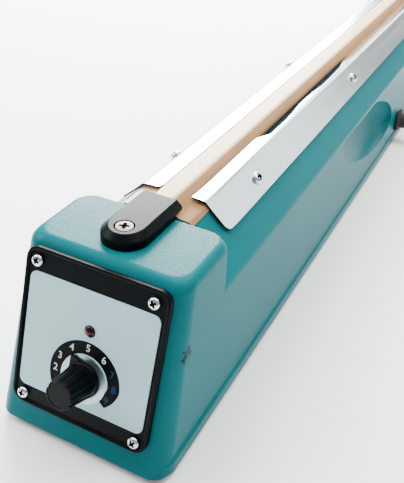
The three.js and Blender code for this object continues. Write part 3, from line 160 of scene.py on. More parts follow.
def both(rule, other):
    return lambda points: rule(points) and other(points)


def runs(axis, least):
    """Holds for an edge that covers more than this length along an axis."""
    return lambda points: abs(points[0][axis] - points[1][axis]) > least


def level_in(axis):
    return lambda points: abs(points[0][axis] - points[1][axis]) < TOUCH


def upright(points):
    return abs(points[0].z - points[1].z) > 0.6 * (points[0] - points[1]).length


def placed(piece, place=BENCH):
    """Moves a piece to its place and applies that to its mesh, so that the object stays unturned."""
    piece.matrix_world = place
    return bake(piece)


def bake(piece):
    only(piece)
    bpy.ops.object.transform_apply(location=True, rotation=True, scale=True)
    return piece


def added(name):
    piece = bpy.context.object
    piece.name = name
    return bake(piece)


def block(name, left, right, front, back, low, high, corner=0, segments=8):
    """A block, with its upright corners rounded when a radius is given."""
    only(None)
    bpy.ops.mesh.primitive_cube_add(
        size=1, location=((left + right) / 2, (front + back) / 2, (low + high) / 2),
        scale=(right - left, back - front, high - low))
    piece = added(name)
    if corner:
        rounded(piece, upright, corner, segments)
    return piece


def extruded(x, y, z):
    bpy.ops.mesh.extrude_region_move(TRANSFORM_OT_translate={"value": (x, y, z)})


def turned(name, profile, sides=40, bored=False):
    """A lathe-turned piece about z: a disc or a ring that is extruded and resized step by step."""
    only(None)
    bpy.ops.mesh.primitive_circle_add(
        vertices=sides, radius=profile[0][0], location=(0, 0, profile[0][1]),
        fill_type="NOTHING" if bored else "NGON")
    piece = added(name)
    bpy.ops.object.mode_set(mode="EDIT")
    bpy.ops.mesh.select_mode(type="EDGE" if bored else "FACE")
    bpy.ops.mesh.select_all(action="SELECT")
    for (radius, low), (wider, high) in zip(profile, profile[1:]):
        extruded(0, 0, high - low)
        share = wider / radius
        bpy.ops.transform.resize(value=(share, share, 1), center_override=(0, 0, high))
    return close(piece)


def straight(name, middle, length, axis):
    """One straight edge, from a plane that is squashed flat: the start of a strip."""
    only(None)
    bpy.ops.mesh.primitive_plane_add(size=1, location=middle)
    piece = added(name)
    sized(piece, anywhere, (length, 0, 1) if axis == X else (0, length, 1), middle)
    return close(piece)


def close(piece):
    """Merges doubled corners and turns every face outwards."""
    only(piece)
    bpy.ops.object.mode_set(mode="EDIT")
    bpy.ops.mesh.select_mode(type="VERT")
    bpy.ops.mesh.select_all(action="SELECT")
    bpy.ops.mesh.remove_doubles(threshold=0.002)
    bpy.ops.mesh.normals_make_consistent(inside=False)
    bpy.ops.object.mode_set(mode="OBJECT")
    return piece


def modified(piece, kind, **settings):
    only(piece)
    bpy.ops.object.modifier_add(type=kind)
    modifier = piece.modifiers[-1]
    for name, value in settings.items():
        setattr(modifier, name, value)
    bpy.ops.object.modifier_apply(modifier=modifier.name)
    return piece


def carved(piece, *tools, operation="DIFFERENCE"):
    """Cuts the tools out of a piece, or joins them on, and throws the tools away."""
    for tool in tools:
        modified(piece, "BOOLEAN", operation=operation, solver="EXACT", object=tool)
        bpy.data.objects.remove(tool)
    return piece


def rounded(piece, rule, offset, segments=4, kind="EDGE"):
    pick(piece, kind, rule)
    affect = "VERTICES" if kind == "VERT" else "EDGES"
    bpy.ops.mesh.bevel(offset=offset, segments=segments, affect=affect, clamp_overlap=False)
    only(piece)


def moved(piece, rule, step):
    pick(piece, "VERT", every(rule))
    bpy.ops.transform.translate(value=step)
    only(piece)


def sized(piece, rule, value, centre=(0, 0, 0)):
    pick(piece, "VERT", every(rule))
    bpy.ops.transform.resize(value=value, center_override=centre)
    only(piece)


def cut_at(piece, point, normal, **settings):
    """One straight cut through the whole piece."""
    pick(piece, "FACE", anywhere)
    bpy.ops.mesh.bisect(plane_co=point, plane_no=normal, **settings)
    only(piece)


def copied(piece, name):
    twin = bpy.data.objects.new(name, piece.data.copy())
    bpy.context.scene.collection.objects.link(twin)
    return twin


def shaded(piece, angle=SMOOTH):
    only(piece)
    bpy.ops.object.shade_smooth_by_angle(angle=angle)
    return modified(piece, "WEIGHTED_NORMAL", keep_sharp=True, weight=80)


# %% [markdown]
# A finish is a small shader tree. One function adds a node, with its settings and links. Another ends the
# tree in its shader, where a pattern can blend two tones, spread the sheen or lift a relief. Most surfaces
# owe their look to one unevenness, such as grain, haze or rolling lines, so a third makes a finish from one
# noise that does all of these.
# %% Finish helpers


def colour(hex_code):
    """An sRGB hex colour as the linear values that shaders use."""
    parts = [int(hex_code[i:i + 2], 16) / 255 for i in (1, 3, 5)]
    return (*[p / 12.92 if p < 0.04045 else ((p + 0.055) / 1.055) ** 2.4 for p in parts], 1)


def node(tree, kind, sockets, **settings):
    """Adds a node. A socket takes a number, a hex colour, another node's socket, or a node's first output."""
    made = tree.nodes.new(f"ShaderNode{kind}")
    for name, value in settings.items():
        setattr(made, name, value)
    for name, value in sockets.items():
        if isinstance(value, bpy.types.Node):
            value = next(socket for socket in value.outputs if socket.enabled)
        if isinstance(value, bpy.types.NodeSocket):
            tree.links.new(value, made.inputs[name])
        else:
            made.inputs[name].default_value = colour(value) if isinstance(value, str) else value
    return made


def opened(name):
    """A new finish, its empty tree, and the object coordinates that every pattern is drawn on."""
    material = bpy.data.materials.new(name)
    material.use_nodes = True
    tree = material.node_tree
    tree.nodes.clear()
    return material, tree, node(tree, "TexCoord", {}).outputs["Object"]


def surfaced(tree, tones=None, sheen=None, relief=None, **sockets):
    """Ends a tree in its shader. Tones, sheen and relief each start with the pattern that drives them."""
    if tones:
        share, first, second = tones
        sockets["Base_Color"] = node(tree, "Mix", {
            "Factor": share, "A": first, "B": second}, data_type="RGBA")
    if sheen:
        pattern, low, high = sheen
        sockets["Roughness"] = node(tree, "MapRange", {"Value": pattern, "To Min": low, "To Max": high})
    if relief:
        pattern, strength, rise = relief
        sockets["Normal"] = node(tree, "Bump", {
            "Height": pattern, "Strength": strength, "Distance": rise * MM})
    shader = node(tree, "BsdfPrincipled", {name.replace("_", " "): value for name, value in sockets.items()})
    node(tree, "OutputMaterial", {"Surface": shader})


def per(size):
    """How many repeats a metre holds when each is this many millimetres."""
    return 1 / (size * MM)


def uneven(name, size, detail=2.0, stretch=None, tones=None, sheen=None, relief=None, **sockets):
    """A finish that one noise of this size makes uneven, in its tone, its sheen or its relief."""
    material, tree, where = opened(name)
    if stretch:
        where = node(tree, "Mapping", {"Vector": where, "Scale": stretch})
    noise = node(tree, "TexNoise", {"Vector": where, "Scale": per(size), "Detail": detail})
    surfaced(tree, tones and (noise, *tones), sheen and (noise, *sheen), relief and (noise, *relief),
             **sockets)
    return material


# %% [markdown]
# The casting wears stoving enamel over aluminium. Sprayed enamel dries with a faint orange peel about a
# millimetre across, drifts slightly in tone, and chips in a few places where the machine has been knocked.
# A noise gives each of them: a fine one for the peel, a slow one for tone, and a masked one for the chips.
# The level strip beside the cloth is painted dark and made dull, as painted shade for the shadow between
# the cloth and the right plate's lip; that paint is masked by its height and by its place behind the head.
# %% Enamel paint
CHIP_PLACE = (41.2, 12.5, 57)
CHIP_LIMIT = 0.86
SHADE_STRIP_FROM = 58

paint, tree, where = opened("stoved_enamel")
slow = node(tree, "TexNoise", {"Vector": where, "Scale": per(45), "Detail": 3.0})
drift = node(tree, "Mix", {"Factor": slow, "A": "#005459", "B": "#005e63"}, data_type="RGBA")
peel = node(tree, "TexNoise", {"Vector": where, "Scale": per(0.8), "Detail": 3.0})
flakes = node(tree, "TexNoise", {"Vector": where, "Scale": per(2.2), "Detail": 3.0})
away = node(tree, "VectorMath", {0: where, 1: BENCH @ Vector(CHIP_PLACE)}, operation="DISTANCE")
close_by = node(tree, "MapRange", {
    "Value": away, "From Min": 2 * MM, "From Max": 9 * MM, "To Min": 0.42, "To Max": 0.0})
likely = node(tree, "Math", {0: flakes, 1: close_by}, operation="ADD")
chipped = node(tree, "Math", {0: likely, 1: CHIP_LIMIT}, operation="GREATER_THAN")
knocked = node(tree, "Mix", {"Factor": chipped, "A": drift, "B": "#06292b"}, data_type="RGBA")
apart = node(tree, "SeparateXYZ", {"Vector": where})
# Painted shade: the level ridge strip behind the head turns dark and dull.
on_ridge = node(tree, "Math", {
    0: apart.outputs["Z"], 1: RIDGE_TOP * MM, 2: 0.35 * MM}, operation="COMPARE")
behind_head = node(tree, "Math", {
    0: apart.outputs["Y"], 1: (BENCH @ Vector((0, SHADE_STRIP_FROM, 0))).y}, operation="GREATER_THAN")
painted_shade_strip = node(tree, "Math", {0: on_ridge, 1: behind_head}, operation="MULTIPLY")
surfaced(tree, tones=(painted_shade_strip, knocked, "#021f24"), sheen=(painted_shade_strip, 0.3, 0.9), relief=(peel, 0.6, 0.2),
         Specular_IOR_Level=0.04)
print("finish:", paint.name)

# %% [markdown]
# The bezel, caps and grip are moulded ABS. Its skin is spark-eroded in the mould, a grain of about half a
# millimetre, which spreads reflections into a satin sheen. The timer knob is a glossier phenolic moulding
# that fingers have smudged, and the bar's support is pressed bakelite, mottled brown.
# %% Moulded plastics
abs_black = uneven("moulded_abs", 0.5, relief=(0.3, 0.05), Base_Color="#05090b", Roughness=0.36,
                   Specular_IOR_Level=0.045)
knob_black = uneven("moulded_phenolic", 6, 3.0, sheen=(0.26, 0.4), Base_Color="#030506",
                    Specular_IOR_Level=0.07)
bakelite = uneven("pressed_bakelite", 3, 5.0, tones=("#3a2115", "#54301d"), Roughness=0.4)
print("finishes:", abs_black.name, knob_black.name, bakelite.name)

# %% [markdown]
# The clamping plates are cold-rolled stainless sheet with a bright, slightly brushed face. Rolling leaves
# fine lines along the sheet, so the noise is stretched along y, and it lifts a relief that breaks up the
# shine. Drawn aluminium has coarser lines, the disc under the knob was spun, and zinc plate crystallises
# in spangles. The cap screws have lost their shine: worn zinc reflects in a dull grey.
# %% Metals
bright_steel = uneven("cold_rolled_stainless", 0.6, 3.0, stretch=(1, 0.03, 1), sheen=(0.14, 0.3),
                      relief=(0.12, 0.03), Base_Color="#c6d2d4", Metallic=1.0)
aluminium = uneven("drawn_aluminium", 0.8, 4.0, stretch=(1, 0.05, 1), sheen=(0.3, 0.48),
                   Base_Color="#c3c6c7", Metallic=1.0)
spun_disc = uneven("spun_aluminium", 0.6, 3.0, sheen=(0.3, 0.45), Base_Color="#8fa3a7", Metallic=1.0)
worn_zinc = uneven("worn_zinc_plate", 1.5, tones=("#55534f", "#64625e"), sheen=(0.42, 0.58), Metallic=1.0)

zinc, tree, where = opened("zinc_plated_steel")
spangle = node(tree, "TexVoronoi", {"Vector": where, "Scale": per(2.5)})
haze = node(tree, "TexNoise", {"Vector": where, "Scale": per(5), "Detail": 3.0})
surfaced(tree, tones=(spangle, "#aeb1ad", "#c6c7bf"), sheen=(haze, 0.32, 0.5), Metallic=1.0)
print("finishes:", bright_steel.name, aluminium.name, spun_disc.name, worn_zinc.name, zinc.name)

# %% [markdown]
# The sealing cloth is woven glass coated with PTFE. The threads are about 0.4 mm apart, too fine to see
# at this size, so they are drawn at 0.8 mm. The cloth is a pale cream; its right flank is painted a darker
# brown as painted shade and made rougher, and a dark painted shadow line runs along the left plate's lip.
# %% Coated glass cloth
CREAM_TO, FLANK_SHADE_FROM = 2.2, 5.4
SHADOW_LINE_PLACE, SHADOW_LINE_HALF = -6.2, 0.5

coated_cloth, tree, where = opened("ptfe_glass_cloth")
threads = [node(tree, "TexWave", {"Vector": where, "Scale": per(0.8) / 2}, bands_direction=way).outputs["Fac"]
           for way in "XY"]
crossing = node(tree, "Math", {0: threads[0], 1: threads[1]}, operation="MULTIPLY")
stains = node(tree, "TexNoise", {"Vector": where, "Scale": per(24), "Detail": 4.0})
apart = node(tree, "SeparateXYZ", {"Vector": where})
from_middle = node(tree, "Math", {0: apart.outputs["X"], 1: origin.x}, operation="SUBTRACT")
# Painted shade: the cloth turns a darker brown down its right flank.
shaded_flank_share = node(tree, "MapRange", {"Value": from_middle, "From Min": CREAM_TO * MM, "From Max": FLANK_SHADE_FROM * MM})
browns = node(tree, "Mix", {"Factor": stains, "A": "#7c5c3b", "B": "#93714d"}, data_type="RGBA")
cream_and_shaded_flank = node(tree, "Mix", {"Factor": shaded_flank_share, "A": "#dbbf96", "B": browns}, data_type="RGBA")
# Painted shadow: a dark line on the cloth along the left plate's lip.
painted_shadow_line = node(tree, "Math", {0: from_middle, 1: SHADOW_LINE_PLACE * MM, 2: SHADOW_LINE_HALF * MM}, operation="COMPARE")
surfaced(tree, tones=(painted_shadow_line, cream_and_shaded_flank, "#4a4436"), sheen=(shaded_flank_share, 0.34, 0.75),
         relief=(crossing, 0.3, 0.06), Specular_IOR_Level=0.08)
print("finish:", coated_cloth.name)

# %% [markdown]
# Rubber scatters light almost evenly, and the pressing strip is white silicone gone slightly yellow.
# The dial is anodised aluminium with its scale printed on in matt inks, which the mesh of the screen leaves
# a little uneven; the lamp lens is a clear red acrylic dome. A near-black finish stands for grime and painted
# shade in every driver recess, and for painted shadow along the plates' edges.
# %% Rubber, dial, lamp, and grime with painted shade
rubber = uneven("moulded_rubber", 4, 4.0, sheen=(0.6, 0.9), Base_Color="#151515")
silicone = uneven("extruded_silicone", 30, 3.0, tones=("#d8d2c4", "#e6e2d6"), Roughness=0.6)
anodised = uneven("anodised_aluminium", 0.4, sheen=(0.38, 0.52), Base_Color="#93b9bf", Specular_IOR_Level=0.3)
lens_red = uneven("tinted_acrylic", 2, 1.0, tones=("#170102", "#330304"), Roughness=0.12,
                  Specular_IOR_Level=0.18)
# A near-black finish for grime and painted shade in recesses, and painted shadow on plate edges.
grime_and_shade = uneven("grime_and_painted_shade", 0.5, tones=("#0e0a07", "#1e1811"), Roughness=0.9, Specular_IOR_Level=0.1)
black_ink, white_ink, blue_ink = [
    uneven(f"{name}_screen_ink", 0.3, sheen=(0.4, 0.6), Base_Color=tone, Specular_IOR_Level=0.05)
    for name, tone in (("black", "#020303"), ("white", "#b9bfbe"), ("blue", "#03335c"))]
print("finishes:", rubber.name, silicone.name, anodised.name, lens_red.name, grime_and_shade.name, "and three inks")

# %% [markdown]
# The electrics inside are rarely seen, yet each keeps its real material: tarnished brass terminals, a
# lacquered copper winding, a stack of steel laminations and a green circuit board.
# %% Materials of the electrics
brass = uneven("drawn_brass", 5, 4.0, sheen=(0.25, 0.5), Base_Color="#b8944a", Metallic=1.0)

winding, tree, where = opened("enamelled_copper_wire")
turns = node(tree, "TexWave", {"Vector": where, "Scale": per(1.2) / 2}, bands_direction="Z").outputs["Fac"]
surfaced(tree, tones=(turns, "#5f2a12", "#b0602e"), relief=(turns, 0.6, 0.2), Metallic=0.8, Roughness=0.35)

laminations, tree, where = opened("stacked_electrical_steel")
sheets = node(tree, "TexWave", {"Vector": where, "Scale": per(0.7) / 2}, bands_direction="Y").outputs["Fac"]
surfaced(tree, tones=(sheets, "#2f2f2c", "#6b6a64"), Metallic=0.9, Roughness=0.45)

board, tree, where = opened("glass_epoxy_board")
patches = node(tree, "TexVoronoi", {"Vector": where, "Scale": per(4)}, distance="CHEBYCHEV")
surfaced(tree, tones=(patches, "#1f5a2c", "#2f7a40"), Roughness=0.4)
print("finishes:", brass.name, winding.name, laminations.name, board.name)

# %% [markdown]
# Dressing a piece gives it its finish, hangs it on the body it moves with and hides the solid it stands for.
# A finished piece is first put in its place and shaded.
# %% Dress a piece


def dressed(piece, finish_used, slot, *nodes, body="body"):
    piece.data.materials.clear()
    piece.data.materials.append(finish_used)
    for face in piece.data.polygons:
        face.material_index = 0
    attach(piece, body)
    if nodes:
        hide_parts(*nodes)


def finished(piece, place, finish_used, slot, *nodes, body="body", angle=SMOOTH):
    placed(piece, place)
    shaded(piece, angle)
    dressed(piece, finish_used, slot, *nodes, body=body)


def grimed_and_shaded(piece, faces):
    """Gives some faces of a dressed piece the near-black finish: grime and painted shade, or painted shadow.
    """
    piece.data.materials.append(grime_and_shade)
    for index in faces:
        piece.data.polygons[index].material_index = 1


# %% [markdown]
# The body is one aluminium casting: a squared head at the front, a long ridged middle and a second head
# at the rear. Each head is a cube with bevelled upright corners, whose top is extruded in short steps that
# draw in to a soft edge. The same function at an inset makes the hollow.
# %% Heads and ridge
SKIRT_TOP, BASE_HALF = 9.4, 42.9
DRAFT = (BASE_HALF - SHOULDER_HALF) / (SHOULDER_TOP - SKIRT_TOP)
HEAD_TOP, HEAD_BACK = 87.7, 54.75
REAR_FRONT, REAR_BACK = 560.1, 650.1
FACE_DEPTH = 2
HEAD_CORNER, HEAD_EDGE, EDGE_STEPS = 8, 4.5, 6
CRISP_SHARE = 0.2
BACK_LEAN = math.tan(math.radians(3))
CAST_LOW = 3.8
WALL, TOP_WALL = 3.2, 3.5
RIDGE_OVERLAP = 25


def side_at(z):
    return BASE_HALF - (z - SKIRT_TOP) * DRAFT


def face_at(z):
    return (FACE_DEPTH + (z - PANEL_HEIGHT) * math.sin(PANEL_TILT)) / math.cos(PANEL_TILT)


def stretched_to(half, ends, new_half, new_ends):
    """Fits the selected level ring to a new half width and new front and back ends."""
    (front, back), (new_front, new_back) = ends, new_ends
    bpy.ops.transform.resize(
        value=(new_half / half, (new_back - new_front) / (back - front), 1), center_override=(0, front, 0))
    bpy.ops.transform.translate(value=(0, new_front - front, 0))


def head(name, low, high, inset, ends_at):
    """A tapered head: bevelled upright corners, then a top extruded in rising, shrinking steps."""
    angles = [step * math.pi / 2 / EDGE_STEPS for step in range(EDGE_STEPS + 1)]
    levels = [(high - HEAD_EDGE * (1 - math.sin(angle)), HEAD_EDGE * (1 - math.cos(angle)))
              for angle in angles]
    half, ends, height = side_at(low) - inset, ends_at(low, 0), levels[0][0]
    piece = block(name, -half, half, *ends, low, height)
    pick(piece, "VERT", every(near(Z, height)))
    for z, drawn in levels:
        if z > height:
            extruded(0, 0, z - height)
        new_half, new_ends = side_at(z) - inset - drawn, ends_at(z, drawn)
        stretched_to(half, ends, new_half, new_ends)
        half, ends = new_half, new_ends
        if z == height:
            rounded(piece, upright, HEAD_CORNER - inset, 8)
            pick(piece, "FACE", every(near(Z, height)))
        height = z
    only(piece)
    return piece


def front_head(name, low, high, inset=0):
    lip = inset / math.cos(PANEL_TILT)
    return head(name, low, high, inset, lambda z, drawn: (
        face_at(z) + lip + drawn, HEAD_BACK + (z - HEAD_TOP) * BACK_LEAN - inset - drawn * CRISP_SHARE))


def rear_head(name, low, high, inset=0):
    return head(name, low, high, inset, lambda z, drawn: (
        REAR_FRONT - (z - HEAD_TOP) * BACK_LEAN + inset + drawn * CRISP_SHARE,
        REAR_BACK - (z - SKIRT_TOP) * BACK_LEAN - inset - drawn))


def ridge(name, low, inset=0, top_inset=0, edge=0.0):
    """The long middle: a block cut at shoulder height, its shoulders and ridge drawn in."""
    half = side_at(low) - inset
    shoulder = SHOULDER_TOP - inset * math.tan((math.pi / 2 - SLOPE) / 2)
    top = RIDGE_TOP - top_inset
    piece = block(name, -half, half, HEAD_BACK - RIDGE_OVERLAP, REAR_FRONT + RIDGE_OVERLAP, low, top)
    cut_at(piece, (0, 0, shoulder), (0, 0, 1))
    sized(piece, near(Z, shoulder), ((SHOULDER_HALF - inset) / half, 1, 1))
    ridge_half = RIDGE_HALF - top_inset * math.tan(SLOPE / 2)
    sized(piece, near(Z, top), (ridge_half / half, 1, 1))
    if edge:
        outer = every(lambda p: p.z > shoulder - TOUCH and abs(p.x) > 1)
        rounded(piece, both(outer, runs(Y, 100)), edge, 4)
    return piece


cast_body = front_head("cast_body", CAST_LOW, HEAD_TOP)
carved(cast_body, rear_head("rear", CAST_LOW, HEAD_TOP), ridge("middle", CAST_LOW, edge=1.4),
       operation="UNION")
print("casting outside:", len(cast_body.data.polygons), "faces")

# %% [markdown]
# A low skirt flares out where the casting meets its base plate. It is a block with rounded corners, cut
# at two heights, so that its rings can be drawn in one after the other to a soft hollow curve.
# %% Skirt
SKIRT_LOW, SKIRT_PROUD, SKIRT_CORNER = 3.0, 1.0, 10
SKIRT_RINGS = ((8.5, 0), (8.9, 0.25), (SKIRT_TOP, 0.85))
skirt_half = BASE_HALF + SKIRT_PROUD
skirt_front, skirt_back = face_at(SKIRT_TOP) - SKIRT_PROUD / 2, REAR_BACK + SKIRT_PROUD
skirt_middle = (0, (skirt_front + skirt_back) / 2, 0)
skirt_reach = (skirt_back - skirt_front) / 2
skirt = block("skirt", -skirt_half, skirt_half, skirt_front, skirt_back, SKIRT_LOW, SKIRT_TOP, SKIRT_CORNER)
for height, drawn in SKIRT_RINGS:
    if height < SKIRT_TOP:
        cut_at(skirt, (0, 0, height), (0, 0, 1))
    sized(skirt, near(Z, height), (1 - drawn / skirt_half, 1 - drawn / skirt_reach, 1), skirt_middle)
carved(cast_body, skirt, operation="UNION")
print("skirt joined:", len(cast_body.data.polygons), "faces")

# %% [markdown]
# Fingers lift the machine by a long scoop in each side. It is a stretched sphere that dips to the rear,
# with its top cut flat just under the shoulder, and it is carved out of the side. The hollow keeps a wall
# around it, so the same sphere, grown by that wall, is carved out of the hollow first.
# %% Scoops and hollow
SCOOP_PLACE, SCOOP_DEPTH = (276, 49.5), 9
SCOOP_RADII = (15, 84, 21)
SCOOP_DIP, SCOOP_LEAN = math.radians(-13.5), math.radians(4)
SCOOP_ROOF = SHOULDER_TOP - 0.8
HOLLOW_LOW = -2


def scoop(side, grow=0.0):
    y, z = SCOOP_PLACE
    x = side_at(z) + SCOOP_RADII[0] - SCOOP_DEPTH
    only(None)
    bpy.ops.mesh.primitive_uv_sphere_add(segments=72, ring_count=36, radius=1)
    ball = placed(added("scoop"), at(side * x, y, z) @ turn(side * SCOOP_LEAN, "Z") @ turn(SCOOP_DIP, "X")
                  @ Matrix.Diagonal((*[radius + grow for radius in SCOOP_RADII], 1)))
    cut_at(ball, (0, 0, SCOOP_ROOF + grow), (0, 0, 1), use_fill=True, clear_outer=True)
    return close(ball)


hollow = front_head("hollow", HOLLOW_LOW, HEAD_TOP - TOP_WALL, WALL)
carved(hollow, rear_head("rear", HOLLOW_LOW, HEAD_TOP - TOP_WALL, WALL),
       ridge("middle", HOLLOW_LOW, WALL, TOP_WALL), operation="UNION")
carved(hollow, scoop(1, WALL), scoop(-1, WALL))
carved(cast_body, hollow, scoop(1), scoop(-1))
print("casting hollowed:", len(cast_body.data.polygons), "faces")

# %% [markdown]
# Two ears carry the hinge pin, a deep well guides the sprung rod, and the front is open behind the panel.
# Ears start as blocks whose upper corners are bevelled until they meet in a half round.
# %% Ears, well and openings
EAR_INNER, EAR_THICK, EAR_RADIUS, EAR_FOOT = 15.2, 7, 10.5, 24
ROD_Y, ROD_HOLE = 610.1, 2.8
WELL_RADIUS, WELL_WALL, WELL_LOW, WELL_FLOOR = 7, 3, HEAD_TOP - 16, 3
WELL_MOUTH = WELL_RADIUS + 0.8
PIN_HOLE = 4.15
PLATE_INSET = 2.2
WINDOW = (-24.5, 24.5, -27, 27, -8.5, 0.5)
CORD_Y, CORD_Z, CORD_HOLE = 384, 19, 5.3
LEG_SLOTS = (40, 567.85)
_, hinge_y, hinge_z = HINGE
for side in (-1, 1):
    inner, outer = side * EAR_INNER, side * (EAR_INNER + EAR_THICK)
    ear = block("ear", min(inner, outer), max(inner, outer), hinge_y - EAR_RADIUS,
                hinge_y + EAR_RADIUS, HEAD_TOP - TOP_WALL / 2, hinge_z + EAR_RADIUS)
    rounded(ear, both(every(lambda p: p.z > hinge_z), runs(X, 1)), EAR_RADIUS * 0.999, 10)
    sized(ear, lambda p: p.z < HEAD_TOP, (1, EAR_FOOT / 2 / EAR_RADIUS, 1), (0, hinge_y, 0))
    rounded(ear, both(every(lambda p: p.z > HEAD_TOP), level_in(X)), 0.6, 2)
    carved(cast_body, ear, operation="UNION")


def tool(profile, place, sides=40):
    """A lathe-turned cutting tool at its place."""
    return placed(turned("tool", profile, sides), place)


def hole(radius, place=Matrix(), reach=30, sides=40):
    return tool([(radius, -reach), (radius, reach)], place, sides)


well_outside = [(WELL_RADIUS + WELL_WALL, WELL_LOW - WELL_FLOOR), (WELL_RADIUS + WELL_WALL, HEAD_TOP - 1)]
carved(cast_body, tool(well_outside, at(0, ROD_Y, 0)), operation="UNION")
bore = tool([(ROD_HOLE, WELL_LOW - WELL_FLOOR - 2), (ROD_HOLE, WELL_LOW), (WELL_RADIUS, WELL_LOW),
             (WELL_RADIUS, HEAD_TOP - 0.5), (WELL_MOUTH, HEAD_TOP + 0.3), (WELL_MOUTH, HEAD_TOP + 2)],
            at(0, ROD_Y, 0))
window = block("window", *WINDOW, WALL, 4)
plate_recess = block("plate_recess", PLATE_INSET - skirt_half, skirt_half - PLATE_INSET,
                     skirt_front + PLATE_INSET, skirt_back - PLATE_INSET, 1, 4.5,
                     SKIRT_CORNER - PLATE_INSET, 6)
carved(cast_body, bore, hole(PIN_HOLE, at(*HINGE) @ CROSSWAYS), placed(window, LEANING), plate_recess,
       hole(CORD_HOLE, at(side_at(CORD_Z), CORD_Y, CORD_Z) @ CROSSWAYS, 8),
       *[block("slot", -3, 3, y, y + 7, HEAD_TOP - 8, HEAD_TOP + 2) for y in LEG_SLOTS])
finished(close(cast_body), BENCH, paint, "painted_casting", "body_casting")
print("casting:", len(cast_body.data.polygons), "faces,", len(cast_body.data.vertices), "corners")

# %% [markdown]
# The front panel is a moulded bezel with a soft raised rim. Insetting the face twice makes the rim and its
# inner foot; the window for the dial plate is a shallow rounded recess cut into the field.
# %% Bezel
BEZEL_HALF, BEZEL_RISE, BEZEL_CORNER = (34.3, 36.7), 0.75, 6
DIAL_RECESS = (-31.6, 31.6, -27.25, 26.95, -0.3, 2)
RIM_WIDTH, RIM_FOOT, RIM_HEIGHT = 1.5, 0.35, 0.9
LAMP_MIDDLE, LAMP_HOLE = (0.6, 9.3), 2.7
DIAL_MIDDLE, SHAFT_HOLE = (0.5, -13.2), 3.9


def panel_holes():
    """Cutting tools for the lamp's hole and the potentiometer's."""
    return hole(LAMP_HOLE, at(*LAMP_MIDDLE, 0), 4), hole(SHAFT_HOLE, at(*DIAL_MIDDLE, 0), 4)


bezel = block("front_panel_bezel", -BEZEL_HALF[0], BEZEL_HALF[0], BEZEL_RISE - BEZEL_HALF[1],
              BEZEL_RISE + BEZEL_HALF[1], -1.7, RIM_HEIGHT, BEZEL_CORNER)
pick(bezel, "FACE", every(near(Z, RIM_HEIGHT)))
for width in (RIM_WIDTH, RIM_FOOT):
    bpy.ops.mesh.inset(thickness=width)
bpy.ops.transform.translate(value=(0, 0, -RIM_HEIGHT))
rounded(bezel, every(near(Z, RIM_HEIGHT)), 0.5, 3)
carved(bezel, block("recess", *DIAL_RECESS, 3.7, 6), *panel_holes())
finished(close(bezel), PANEL, abs_black, "black_plastic", "front_bezel")
print("bezel:", len(bezel.data.polygons), "faces")

# %% [markdown]
# The dial plate is thin anodised sheet, and its scale is screen printed: a black band from 1 to 9 round the
# knob, with figures. Print has almost no thickness; the band and figures are raised 0.04 mm, which keeps
# them crisp. The places of the figures follow the timer's travel, and past the 8 the scale closes in on
# the knob. A bright metal disc lies round the shaft.
# %% Dial plate and its printed scale
DIAL_SHEET, DIAL_FACE, PRINT = (-31.3, 31.3, -26.95, 26.65), 0.5, 0.04
BAND_INNER, BAND_OUTER, BAND_MIDDLE = 11.5, 17.3, (1.0, -12.9)
BAND_START, BAND_END = 238, -39
END_DRAWN_IN = 0.17
DISC_RADIUS, DISC_LOW, DISC_HIGH = 11.2, DIAL_FACE + 0.01, DIAL_FACE + 0.1
FIGURES = {"1": 208, "2": 179, "3": 153.7, "4": 122.4, "5": 89.8, "6": 56, "7": 28.6, "8": 2.3, "9": -25.4}
FIGURE_RADIUS, FIGURE_SIZE, FIGURE_WEIGHT = 14.5, 4.62, 0.04


def drawn_in(angle):
    """The share of its radius that the scale keeps at an angle, in degrees: it shrinks past the 8."""
    return 1 - END_DRAWN_IN * min(max(angle / BAND_END, 0), 1)


def band_angle(p):
    return math.degrees(math.atan2(p.y - BAND_MIDDLE[1], p.x - BAND_MIDDLE[0]))


plate = block("dial_face", *DIAL_SHEET, 0, DIAL_FACE, 3.5)
rounded(plate, every(near(Z, DIAL_FACE)), 0.12, 2)
finished(carved(plate, *panel_holes()), PANEL, anodised, "printed_dial", "dial_plate")

band = straight("dial_band", ((BAND_INNER + BAND_OUTER) / 2, 0, 0), BAND_OUTER - BAND_INNER, X)
pick(band, "EDGE", anywhere)
bpy.ops.mesh.spin(steps=72, angle=math.radians(BAND_START - BAND_END), center=(0, 0, 0), axis=(0, 0, 1))
modified(close(band), "SOLIDIFY", thickness=PRINT, offset=1)
placed(band, at(*BAND_MIDDLE, DIAL_FACE + 0.005) @ turn(math.radians(BAND_START), "Z"))
for level in sorted({round(band_angle(corner.co), 1) for corner in band.data.vertices}):
    if BAND_END - 1 < level < 0:
        share = drawn_in(level)
        sized(band, lambda p: abs(band_angle(p) - level) < 0.3, (share, share, 1), (*BAND_MIDDLE, 0))
dressed(placed(band, PANEL), black_ink, "printed_dial")
disc = turned("dial_disc", [(SHAFT_HOLE, DISC_LOW), (DISC_RADIUS, DISC_LOW), (DISC_RADIUS, DISC_HIGH),
                            (SHAFT_HOLE, DISC_HIGH), (SHAFT_HOLE, DISC_LOW)], 64, bored=True)
finished(disc, PANEL @ at(*DIAL_MIDDLE, 0), spun_disc, "aluminium")


